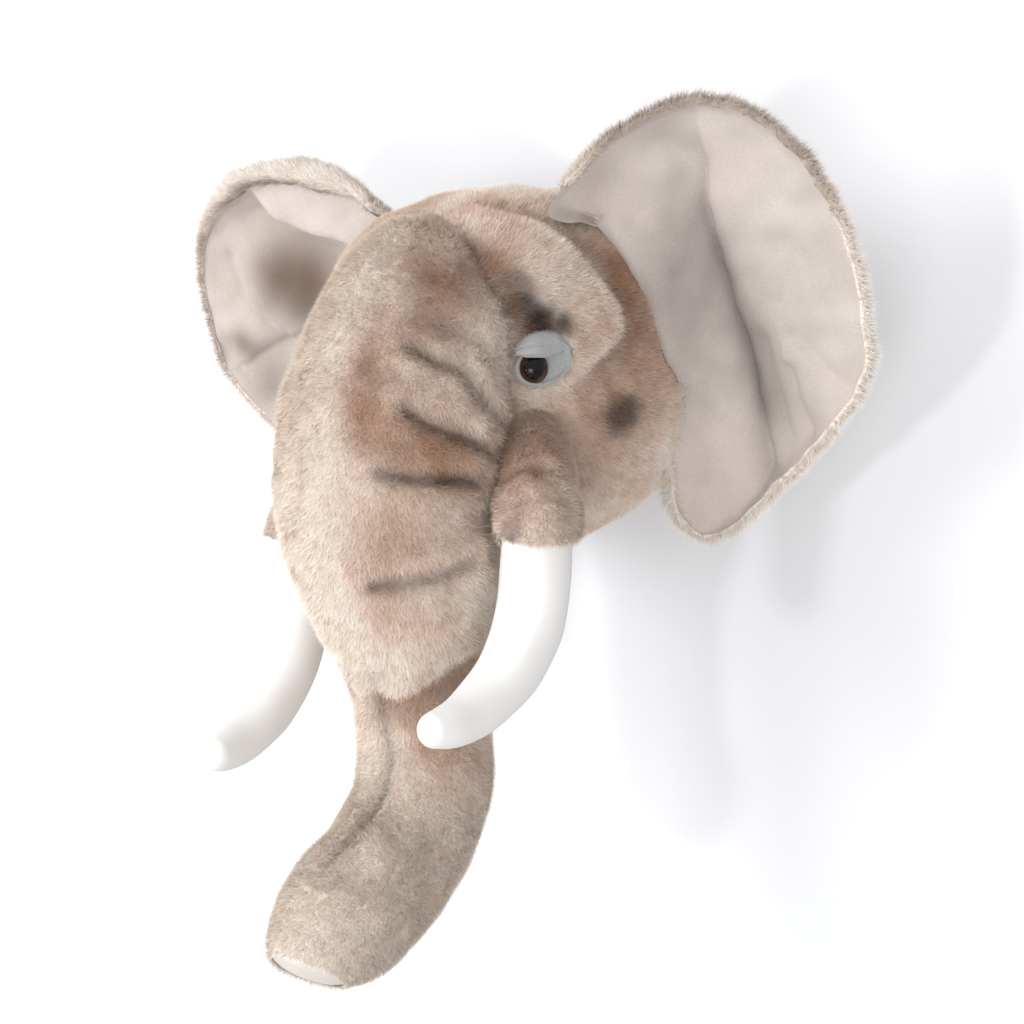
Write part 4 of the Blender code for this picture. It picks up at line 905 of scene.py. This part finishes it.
# The patch lies off the cheek, swells near its edge, and dives under the pile at the edge itself.
PATCH_LIFT, PATCH_SWELL, SWELL_PLACE, SWELL_REACH, PATCH_DIVE = 0.0010, 0.0022, 0.86, 0.10, 0.0045
DIVE_FROM = (0.9, 1.0)
# The hood from front to back: its arched upper edge, its lower edge, and how far it stands off the cheek.
HOOD_FRONT, HOOD_BACK = -0.0105, 0.0228
HOOD_FOOT, HOOD_ARCH, ARCH_MIDDLE, ARCH_REACH = 0.0070, 0.0128, 0.0062, 0.0172
HOOD_EDGE, EDGE_BACK_UP, EDGE_FRONT_UP, LEAST_HOOD = 0.0052, 0.0036, 0.0010, 0.0008
EDGE_BACK, EDGE_FRONT = (0.005, 0.017), (0.004, 0.010)
HOOD_RISE, HOOD_END_RISE, RISE_REACH = 0.0088, 0.0030, 0.0105
HOOD_TURN, HOOD_TUCK, HOOD_ROOT, HOOD_ROUND = 0.85, 0.25, 0.0008, 0.9
HOOD_FOLD, HOOD_FOLD_AT, HOOD_FOLD_WIDE, FOLD_RUNS_OUT = 0.0014, 0.52, 0.07, (0.002, 0.010)
HOOD_THICKNESS, HOOD_COLUMNS, HOOD_ROWS = 0.0016, 70, 30


def felt_place(back, up, rise, side):
    """A point of an eye's felt: so far back along the cheek and up from the eye, raised off the cheek."""
    depth, height = -EYE_PLACE[1] - CHEEK_BACK[1] * back, EYE_PLACE[2] + up
    stations = np.array(HEAD_STATIONS)
    wide, tall, level = (np.interp(depth, stations[:, 0], stations[:, k]) for k in (1, 2, 3))
    x = wide * (1 - np.abs((height - level) / tall) ** HEAD_POWER) ** (1 / HEAD_POWER)
    return (np.stack([x, -depth, height], -1) + EYE_FACING * rise[..., None]) * [side, 1, 1]


for side, hand in HANDS:
    ring = 1 - spread
    long, tall = ring * LID_HALF_LENGTH * np.cos(turn), ring * LID_HALF_HEIGHT * np.sin(turn)
    patch_rise = (PATCH_LIFT + PATCH_SWELL * bell(ring, SWELL_PLACE, SWELL_REACH)
                  - PATCH_DIVE * smooth(ring, *DIVE_FROM))
    patch_points = felt_place(LID_BACK + long * np.cos(LID_TILT) - tall * np.sin(LID_TILT),
                              LID_UP + long * np.sin(LID_TILT) + tall * np.cos(LID_TILT),
                              patch_rise + 0 * turn, side)
    along = np.linspace(HOOD_FRONT, HOOD_BACK, HOOD_COLUMNS)[None]
    down = np.linspace(0, 1, HOOD_ROWS)[:, None]
    arch = np.sqrt(np.clip(1 - ((along - ARCH_MIDDLE) / ARCH_REACH) ** 2, 0, 1))
    hood_top = HOOD_FOOT + HOOD_ARCH * arch
    hood_low = (HOOD_EDGE + EDGE_BACK_UP * smooth(along, *EDGE_BACK)
                + EDGE_FRONT_UP * smooth(-along, *EDGE_FRONT))
    hood_low = np.minimum(hood_low, hood_top - LEAST_HOOD)
    hood_rise = HOOD_END_RISE + (HOOD_RISE - HOOD_END_RISE) * bell(along, 0, RISE_REACH)
    hood_bulge = (np.sin(np.minimum(down / HOOD_TURN, 1) * np.pi / 2) ** HOOD_ROUND
                  - HOOD_TUCK * smooth(down, HOOD_TURN, 1.0))
    fold_line = bell(down, HOOD_FOLD_AT, HOOD_FOLD_WIDE) * (1 - smooth(along, *FOLD_RUNS_OUT))
    hood_points = felt_place(along + 0 * down, hood_top + (hood_low - hood_top) * down,
                             hood_rise * hood_bulge - HOOD_FOLD * fold_line - HOOD_ROOT * (1 - down), side)
    if side < 0:
        patch_points, hood_points = patch_points[:, ::-1], hood_points[:, ::-1]
    patch = skin(f"eyelid_{hand}_patch", patch_points)
    hood = skin(f"eyelid_{hand}_hood", hood_points[:, ::-1])
    felt_wall = hood.modifiers.new("thickness", "SOLIDIFY")
    felt_wall.thickness = HOOD_THICKNESS
    felt_wall.offset = -1.0
    for felt_piece in (patch, hood):
        felt_piece.data.materials.append(grey_felt)
        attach(felt_piece, "head")
    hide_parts(f"eyelid_{hand}")


# Ears: a plush back that wraps the edge, a layer of wadding and a suede lining, sewn together along the
# edge and gathered onto the head at the root. The right ear's top is rolled over.

EAR_TILT = np.radians(20)
EAR_MIDDLE = np.array([0.0, -0.126, 0.010])
EAR_FRONT = np.array([0.0, -np.cos(EAR_TILT), -np.sin(EAR_TILT)])
# Side, height up the ear and forward lean of the edge, from the root's top round to its bottom.
EAR_EDGE = ((0.068, 0.053, 0.000), (0.067, 0.059, 0.013), (0.063, 0.063, 0.024), (0.057, 0.067, 0.028),
            (0.054, 0.072, 0.023), (0.063, 0.083, 0.016), (0.078, 0.096, 0.010), (0.104, 0.111, 0.006),
            (0.140, 0.119, 0.004), (0.168, 0.113, 0.004), (0.190, 0.095, 0.004), (0.208, 0.062, 0.002),
            (0.218, 0.003, 0.0), (0.214, -0.030, 0.0), (0.204, -0.046, 0.0), (0.178, -0.073, 0.0),
            (0.150, -0.097, 0.0), (0.114, -0.127, 0.0), (0.098, -0.131, 0.0), (0.086, -0.122, 0.0),
            (0.083, -0.095, 0.0), (0.090, -0.060, 0.0), (0.097, -0.036, -0.006))
EAR_ROOT = ((0.068, 0.053, 0.000), (0.076, 0.044, 0.002), (0.083, 0.034, 0.003), (0.093, 0.009, 0.004),
            (0.096, -0.013, 0.003), (0.097, -0.036, -0.006))
RIGHT_ROLL_LINE, RIGHT_ROLL_SHARE = 0.040, 0.72
EAR_BOWL = 0.003
# Creases of each lining: points on the ear, depth, and how far the slope runs on the inner and outer side.
EAR_VALLEY = ((0.126, 0.080), (0.122, 0.059), (0.125, 0.035), (0.130, 0.001), (0.133, -0.025),
              (0.134, -0.061), (0.137, -0.089))
LEFT_CREASES = ((EAR_VALLEY, 0.017, 0.040, 0.050), (EAR_VALLEY, 0.007, 0.012, 0.0040),
                (((0.173, 0.032), (0.159, 0.006)), 0.004, 0.014, 0.009),
                (((0.144, -0.018), (0.147, -0.043), (0.151, -0.071)), 0.007, 0.008, 0.006),
                (((0.165, -0.012), (0.182, -0.031), (0.197, -0.043)), 0.005, 0.004, 0.016),
                (((0.158, -0.032), (0.161, -0.051), (0.169, -0.072)), 0.008, 0.012, 0.004),
                (((0.074, 0.060), (0.086, 0.056), (0.100, 0.062)), 0.002, 0.010, 0.010),
                (((0.107, 0.094), (0.112, 0.086)), 0.003, 0.010, 0.010),
                (((0.145, 0.102), (0.150, 0.092)), 0.003, 0.012, 0.012))
RIGHT_LEDGE = ((0.161, 0.079), (0.147, 0.059), (0.122, 0.050), (0.099, 0.043))
RIGHT_CREASES = ((RIGHT_LEDGE, 0.022, 0.0025, 0.030),
                 (((0.190, 0.040), (0.186, 0.017), (0.164, -0.012)), 0.007, 0.012, 0.010),
                 (((0.164, -0.012), (0.186, -0.021)), 0.007, 0.012, 0.005),
                 (((0.213, -0.008), (0.202, -0.024)), 0.004, 0.008, 0.004))
# Brown painted shade in the hollows of each lining: side, height, radius, strength.
LEFT_HOLLOW_SHADES = ((0.128, 0.000, 0.020, 0.12), (0.133, -0.050, 0.020, 0.12))
RIGHT_HOLLOW_SHADES = ((0.136, 0.022, 0.032, 0.90), (0.158, 0.028, 0.020, 0.70), (0.192, -0.012, 0.011, 0.65),
                 (0.176, -0.036, 0.022, 0.55))
HOLLOW_SHADE_TINT = np.array(linear("#786453")[:3])
# The left lining is darkened as painted shade inside the valley, along it and on its outer part, and lightened
# as painted light low on its inner side.
INNER_PAINTED_SHADE, INNER_LEAST = np.array([0.52, 0.50, 0.51]), 0.25
INNER_MIDDLE, INNER_REACH = np.array([0.112, 0.028]), np.array([0.024, 0.048])
LOW_PAINTED_LIGHT, OUTER_PAINTED_SHADE = 0.28, 0.10
VALLEY_SHADE = 0.66
# How far these run: the slopes' reaches on both sides of the valley, then ranges of height and side.
INNER_SLOPES, SHADE_SLOPES = (0.30, 0.0120), (0.0025, 0.0130)
LOW_FROM, LOW_TO, OUTER_FROM = (0.040, 0.075), (0.120, 0.136), (0.120, 0.150)
VALLEY_FROM, VALLEY_TO = (-0.085, -0.045), (0.020, 0.070)
RIGHT_PAINTED_LIGHT, FLAP_EDGE = 1.05, (-0.006, 0.0)
LINING_SHARE, LINING_LUMP, LINING_LUMP_SIZE = 0.955, 0.0006, 0.022
BACK_BEHIND, BACK_SWELL, BACK_FOLLOWS, LEAST_EAR = 0.004, 0.004, 0.5, 0.003
RIM_RADIUS, RIGHT_ROLL_RADIUS, LOBE_RIM = 0.0022, 0.0085, 1.2
RIM_BEHIND, RIM_FROM_ROW = 0.0016, 7
RIM_INSET, RIM_SINK, RIM_TURNS, RIM_RINGS = 0.7, 0.25, (-0.55, 0.62), 16
RIM_DARK_SHARE, RIM_TINT_SHARE, ROLL_SHADE = 0.70, 0.95, 0.8
EAR_COLUMNS, EAR_ROWS, ROOT_STEPS = 281, 90, 400
# Shares of the way from root to edge, and along the edge from the root's top round to its bottom.
OPEN_FROM_ROOT, OPEN_TO_EDGE = (0.0, 0.16), (0.86, 1.0)
OPEN_FROM_TOP, OPEN_TO_BOTTOM = (0.03, 0.12), (0.95, 1.0)
ROOT_SPAN, BOUND_FROM, RIM_FROM, LOBE_FROM = (0.10, 0.86), (0.050, 0.085), (0.070, 0.100), (0.82, 0.87)
ROLL_FROM, ROLL_TO = (0.10, 0.20), (0.30, 0.42)
LEFT_DARK_FROM, LEFT_DARK_TO = (0.10, 0.16), (0.36, 0.46)
RIGHT_DARK_FROM, RIGHT_DARK_TO = (0.34, 0.40), (0.52, 0.58)
# Rows, counted from the lining's edge and from the plush's end, and how far the edge is bound to carry pile.
RIM_TINT_ROWS, UNDER_ROLL_ROWS, UNBOUND_ROWS, LEAST_BOUND = (-18, -4), (-5, -1), 30, 0.4
EAR_UNDER_HEAD = 0.004
EAR_PILE_SHARE, RIM_PILE, BACK_PILE = 0.7, 1.35, 0.85


def crease(flat, line, depth, inner, outer):
    """A sharp valley along a line on the flat ear: its depth falls away by e over its reach on each side."""
    line = np.array(line)
    apart, sign = np.full(flat.shape[:-1], np.inf), np.zeros(flat.shape[:-1])
    for start, end in zip(line[:-1], line[1:]):
        run = end - start
        t = np.clip((flat - start) @ run / (run @ run), 0, 1)
        off = flat - start - t[..., None] * run
        distance = np.linalg.norm(off, axis=-1)
        nearer = distance < apart
        apart = np.where(nearer, distance, apart)
        sign = np.where(nearer, run[0] * off[..., 1] - run[1] * off[..., 0], sign)
    return depth * np.exp(-apart / np.where(sign < 0, inner, outer))


def ear_place(side, flat, forward):
    """A point of the tilted ear plane, side and height, moved forward along its normal, in the frame."""
    x, height = flat[..., 0], flat[..., 1]
    upright = np.stack([side * x, -height * np.sin(EAR_TILT), height * np.cos(EAR_TILT)], -1)
    return EAR_MIDDLE + upright + EAR_FRONT * forward[..., None]


taupe_suede = suede("taupe_suede", "#bab0a9", "#d6ccc6")
RIM_PALE, RIM_DARK = (np.array(linear(c)[:3]) for c in ("#fff4ea", "#a19287"))
ROLL_SHADE_TINT = RIM_DARK * 0.6
for side, hand, creases, hollow_shades in ((1, "left", LEFT_CREASES, LEFT_HOLLOW_SHADES),
                                     (-1, "right", RIGHT_CREASES, RIGHT_HOLLOW_SHADES)):
    edge, root = np.array(EAR_EDGE), np.array(EAR_ROOT)
    if side < 0:
        for line in (edge, root):
            over = np.maximum(line[:, 1] - RIGHT_ROLL_LINE, 0)
            line[:, 1] = line[:, 1] - over * (1 - RIGHT_ROLL_SHARE)
    edge = curve_through(edge, EAR_COLUMNS)
    root = curve_through(root, ROOT_STEPS)
    way = np.linspace(0, 1, EAR_COLUMNS)
    root = root[(smooth(way, *ROOT_SPAN) * (ROOT_STEPS - 1)).astype(int)]

    # The lining: straight lines from root to edge, bowed back and creased, but not at the root and edge.
    share = np.linspace(0, 1, EAR_ROWS)[:, None]
    sheet = root + (edge - root) * share[..., None]
    flat, forward = sheet[..., :2], sheet[..., 2]
    forward = forward - EAR_BOWL * (4 * share * (1 - share))
    open_part = between(share, OPEN_FROM_ROOT, OPEN_TO_EDGE)
    open_part = open_part * smooth(way, *OPEN_FROM_TOP) * (1 - smooth(way, *OPEN_TO_BOTTOM))
    for line, depth, inner, outer in creases:
        forward = forward - crease(flat, line, depth, inner, outer) * open_part
    lining_rows = int(EAR_ROWS * LINING_SHARE)
    lining_points = ear_place(side, flat, forward)
    lumps = LINING_LUMP * ripple(lining_points, LINING_LUMP_SIZE, 25)
    lining_points = lining_points + facing(lining_points, False) * lumps[..., None]

    # The plush: the back follows the folds at half their depth, and its edge is rolled forward round the rim.
    behind = np.minimum(forward - LEAST_EAR, forward * BACK_FOLLOWS - BACK_BEHIND)
    back_points = ear_place(side, flat, behind - BACK_SWELL * np.sin(np.pi * share))
    outward = unit(np.gradient(lining_points, axis=0)[-1])
    front_of_rim = facing(lining_points, False)[-1] * side
    rim_turn = np.linspace(*RIM_TURNS, RIM_RINGS)[:, None, None] * np.pi
    roll = between(way, ROLL_FROM, ROLL_TO) if side < 0 else 0 * way
    bound = smooth(way, *BOUND_FROM)
    rim_radius = (RIM_RADIUS * (1 + LOBE_RIM * smooth(way, *LOBE_FROM))
                  + (RIGHT_ROLL_RADIUS - RIM_RADIUS) * roll)[:, None]
    lining_edge = lining_points[lining_rows - 1] * bound[:, None] + lining_points[-1] * (1 - bound[:, None])
    lining_points[lining_rows - 1] = lining_edge
    rim_middle = (lining_edge - outward * rim_radius * RIM_INSET
                  - front_of_rim * (RIM_BEHIND + RIM_SINK * rim_radius))
    rim_points = rim_middle + rim_radius * (np.cos(rim_turn) * outward + np.sin(rim_turn) * front_of_rim)
    back_edge = back_points[-RIM_FROM_ROW - 1]
    rim_points = back_edge + (rim_points - back_edge) * smooth(way, *RIM_FROM)[:, None]
    plush_points = np.concatenate([back_points[:-RIM_FROM_ROW], rim_points])
    if side > 0:
        plush_points = plush_points[:, ::-1]
    else:
        lining_points = lining_points[:, ::-1]

    # The lining's colour is painted light and shade: darker in and along the valley and outside it, paler low
    # inside and over the whole right ear, brown shade in the hollows.
    lining_light_and_shade = np.full(lining_points.shape, 1.0 if side > 0 else RIGHT_PAINTED_LIGHT)
    if side > 0:
        x, height = flat[..., 0], flat[..., 1]
        # The area round the valley's middle where the painted shade is strongest.
        brushed = np.exp(-(((flat - INNER_MIDDLE) / INNER_REACH) ** 2).sum(-1))
        inner_share = crease(flat, EAR_VALLEY, 1.0, *INNER_SLOPES) * from_least(INNER_LEAST, brushed)
        lining_light_and_shade = lining_light_and_shade + (INNER_PAINTED_SHADE - 1) * inner_share[..., None]
        low_share = smooth(-height, *LOW_FROM) * (1 - smooth(x, *LOW_TO))
        lining_light_and_shade = lining_light_and_shade * (1 + LOW_PAINTED_LIGHT * low_share[..., None])
        shaded = between(height, VALLEY_FROM, VALLEY_TO)
        shaded = shaded * crease(flat, EAR_VALLEY, VALLEY_SHADE, *SHADE_SLOPES)
        lining_light_and_shade = lining_light_and_shade * ((1 - shaded) * (1 - OUTER_PAINTED_SHADE * smooth(x, *OUTER_FROM)))[..., None]
    ledge = np.interp(flat[..., 0], *np.transpose(RIGHT_LEDGE[::-1]))
    under_flap = 1 - smooth(flat[..., 1] - ledge, *FLAP_EDGE) if side < 0 else 1.0
    for x, height, radius, strength in hollow_shades:
        apart = ((flat - [x, height]) ** 2).sum(-1) / radius ** 2
        lining_light_and_shade = tinted(lining_light_and_shade, HOLLOW_SHADE_TINT, strength * under_flap * np.exp(-apart))
    lining_light_and_shade = lining_light_and_shade if side > 0 else lining_light_and_shade[:, ::-1]
    lining = skin(f"ear_{hand}_lining", lining_points[:lining_rows], lining_light_and_shade[:lining_rows])
    lining.data.materials.append(taupe_suede)
    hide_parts(f"ear_lining_{hand}")

    # The rim's pile is pale, with dark tips along the top, and darker again as painted shade under the right
    # ear's roll.
    plush_out = facing(plush_points, False)
    toward = unit(np.gradient(plush_points, axis=0))
    plush_rows = len(plush_points)
    row_number = np.arange(plush_rows)[:, None]
    if side < 0:
        dark_tips = between(way, RIGHT_DARK_FROM, RIGHT_DARK_TO)
    else:
        dark_tips = between(way, LEFT_DARK_FROM, LEFT_DARK_TO)[::-1]
    rim_tint = tinted(RIM_PALE, RIM_DARK, RIM_DARK_SHARE * dark_tips)
    ear_colour = plush_colour(plush_points)
    rim_share = smooth(row_number - EAR_ROWS, *RIM_TINT_ROWS)
    ear_colour = tinted(ear_colour, rim_tint, RIM_TINT_SHARE * rim_share)
    shade_under_roll = smooth(row_number - plush_rows, *UNDER_ROLL_ROWS) * roll
    ear_colour = tinted(ear_colour, ROLL_SHADE_TINT, ROLL_SHADE * shade_under_roll)
    plush = skin(f"ear_{hand}_plush", plush_points, ear_colour * CLOTH_PAINTED_SHADE)
    plush.data.materials.append(fawn_plush)
    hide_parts(f"ear_back_{hand}", f"ear_hem_{hand}", f"ear_wadding_{hand}")
    at = scatter(plush_points, PILE_PER_AREA * EAR_PILE_SHARE, 4)
    roots, out, colour = read(plush_points, at), unit(read(plush_out, at)), read(ear_colour, at)
    on_rim = at[0] > EAR_ROWS - RIM_FROM_ROW - 1
    in_order = slice(None) if side < 0 else slice(None, None, -1)
    rim_comb = read(np.repeat(outward[None, in_order], plush_rows, 0), at)
    comb = np.where(on_rim[:, None], rim_comb, read(toward, at))
    edge_bound = read(np.repeat(bound[None, in_order, None], plush_rows, 0), at)[:, 0]
    may_stand = (edge_bound > LEAST_BOUND) | (at[0] < EAR_ROWS - UNBOUND_ROWS)
    shown = (inside_head(roots) < EAR_UNDER_HEAD) & may_stand
    length = PILE_LENGTH * np.where(on_rim, RIM_PILE, BACK_PILE)
    strands_of_ear = pile(f"ear_{hand}_pile", roots[shown], out[shown], comb[shown], colour[shown],
                          length[shown], 34)
    for piece in (lining, plush, *strands_of_ear):
        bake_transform(piece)


# Wall and floor: a plain white wall that the head hangs on and a pale floor below it. Each is painted on the
# side that faces the room and clear from behind, so that the back of the head can be seen.

STAGE_GLOW = 0.03


def sees_background(tree):
    """A socket that is 1 for rays from the camera, from gloss and through clear pieces, and 0 for others."""
    path = add(tree, "ShaderNodeLightPath", {})
    direct = add(tree, "ShaderNodeMath",
                 {0: path.outputs["Is Camera Ray"], 1: path.outputs["Is Glossy Ray"]}, operation="MAXIMUM")
    through = add(tree, "ShaderNodeMath",
                  {0: direct.outputs["Value"], 1: path.outputs["Is Transmission Ray"]}, operation="MAXIMUM")
    return through.outputs["Value"]


def stage_plane(name, corners, colour):
    """A flat stage of four corners, matt on its front and clear on its back."""
    mesh = bpy.data.meshes.new(name)
    mesh.from_pydata(corners, [], [(0, 1, 2, 3)])
    made = bpy.data.objects.new(name, mesh)
    bpy.context.scene.collection.objects.link(made)
    paint, tree, shader = new_material(name + "_paint")
    glow = add(tree, "ShaderNodeMath", {0: sees_background(tree), 1: STAGE_GLOW}, operation="MULTIPLY")
    feed(tree, shader, {"Base Color": linear(colour), "Roughness": 1.0, "Specular IOR Level": 0.0,
                        "Emission Color": linear("#ffffff"), "Emission Strength": glow.outputs["Value"]})
    geometry = add(tree, "ShaderNodeNewGeometry", {})
    clear = add(tree, "ShaderNodeBsdfTransparent", {})
    mixed = add(tree, "ShaderNodeMixShader", {0: geometry.outputs["Backfacing"], 1: shader.outputs["BSDF"],
                                              2: clear.outputs["BSDF"]})
    feed(tree, tree.nodes["Material Output"], {"Surface": mixed.outputs["Shader"]})
    mesh.materials.append(paint)
    made.visible_shadow = False
    made.visible_diffuse = False


STAGE_HALF, WALL_PLACE, FLOOR_LEVEL = 3.0, 0.001, -0.80
stage_plane("wall", [(-STAGE_HALF, WALL_PLACE, FLOOR_LEVEL), (STAGE_HALF, WALL_PLACE, FLOOR_LEVEL),
                     (STAGE_HALF, WALL_PLACE, STAGE_HALF), (-STAGE_HALF, WALL_PLACE, STAGE_HALF)], "#eeeff3")
stage_plane("floor", [(-STAGE_HALF, -STAGE_HALF, FLOOR_LEVEL), (STAGE_HALF, -STAGE_HALF, FLOOR_LEVEL),
                      (STAGE_HALF, STAGE_HALF, FLOOR_LEVEL), (-STAGE_HALF, STAGE_HALF, FLOOR_LEVEL)], "#f2f2f2")


# Light: four lamps in front of the wall, the strongest up on the left and one low on the right that fills,
# and an even pale surround.

HEAD_MIDDLE = np.array([0.0, -0.15, -0.05])


def turned(across, up, away, place):
    """The placing of a lamp or camera: its own three directions as columns, then where it stands."""
    return Matrix([[across[i], up[i], away[i], place[i]] for i in range(3)] + [[0, 0, 0, 1]])


def lamp(name, place, size, watts):
    """A square lamp at a place, turned to shine at the head's middle."""
    light = bpy.data.lights.new(name, "AREA")
    light.size = size
    light.energy = watts
    made = bpy.data.objects.new(name, light)
    bpy.context.scene.collection.objects.link(made)
    away = unit(np.array(place, float) - HEAD_MIDDLE)
    across = unit(np.cross([0, 0, 1], away))
    made.matrix_world = turned(across, np.cross(away, across), away, place)


lamp("key_lamp", (-1.05, -1.9, 0.45), 0.9, 22.2)
lamp("top_lamp", (-0.45, -1.2, 1.2), 0.7, 3.9)
lamp("front_lamp", (-0.30, -2.3, -0.45), 0.16, 7.7)
lamp("low_lamp", (0.8, -1.8, -0.55), 0.9, 13.5)

SURROUND_LIGHT = 0.63
world = bpy.data.worlds.new("pale_surround")
bpy.context.scene.world = world
world.use_nodes = True
tree = world.node_tree
surround = tree.nodes["Background"]
strength = add(tree, "ShaderNodeMapRange",
               {"Value": sees_background(tree), "To Min": SURROUND_LIGHT, "To Max": 1.0})
feed(tree, surround, {"Color": linear("#ffffff"), "Strength": strength.outputs["Result"]})


# Camera: 32 degrees round to the elephant's left and 4 degrees up, 1.2 m away, as the photograph was taken.

AZIMUTH, ELEVATION, DISTANCE = np.radians(32), np.radians(4), 1.2
AIM = np.array([0.0, -0.120, -0.094])
FOCAL_LENGTH, SENSOR_WIDTH = 75.94, 36.0
camera = bpy.data.objects.new("camera", bpy.data.cameras.new("camera"))
bpy.context.scene.collection.objects.link(camera)
camera.data.lens = FOCAL_LENGTH
camera.data.sensor_width = SENSOR_WIDTH
right = np.array([np.cos(AZIMUTH), np.sin(AZIMUTH), 0.0])
back = np.array([np.sin(AZIMUTH) * np.cos(ELEVATION), -np.cos(AZIMUTH) * np.cos(ELEVATION),
                 np.sin(ELEVATION)])
camera.matrix_world = turned(right, np.cross(back, right), back, AIM + DISTANCE * back)
bpy.context.scene.camera = camera
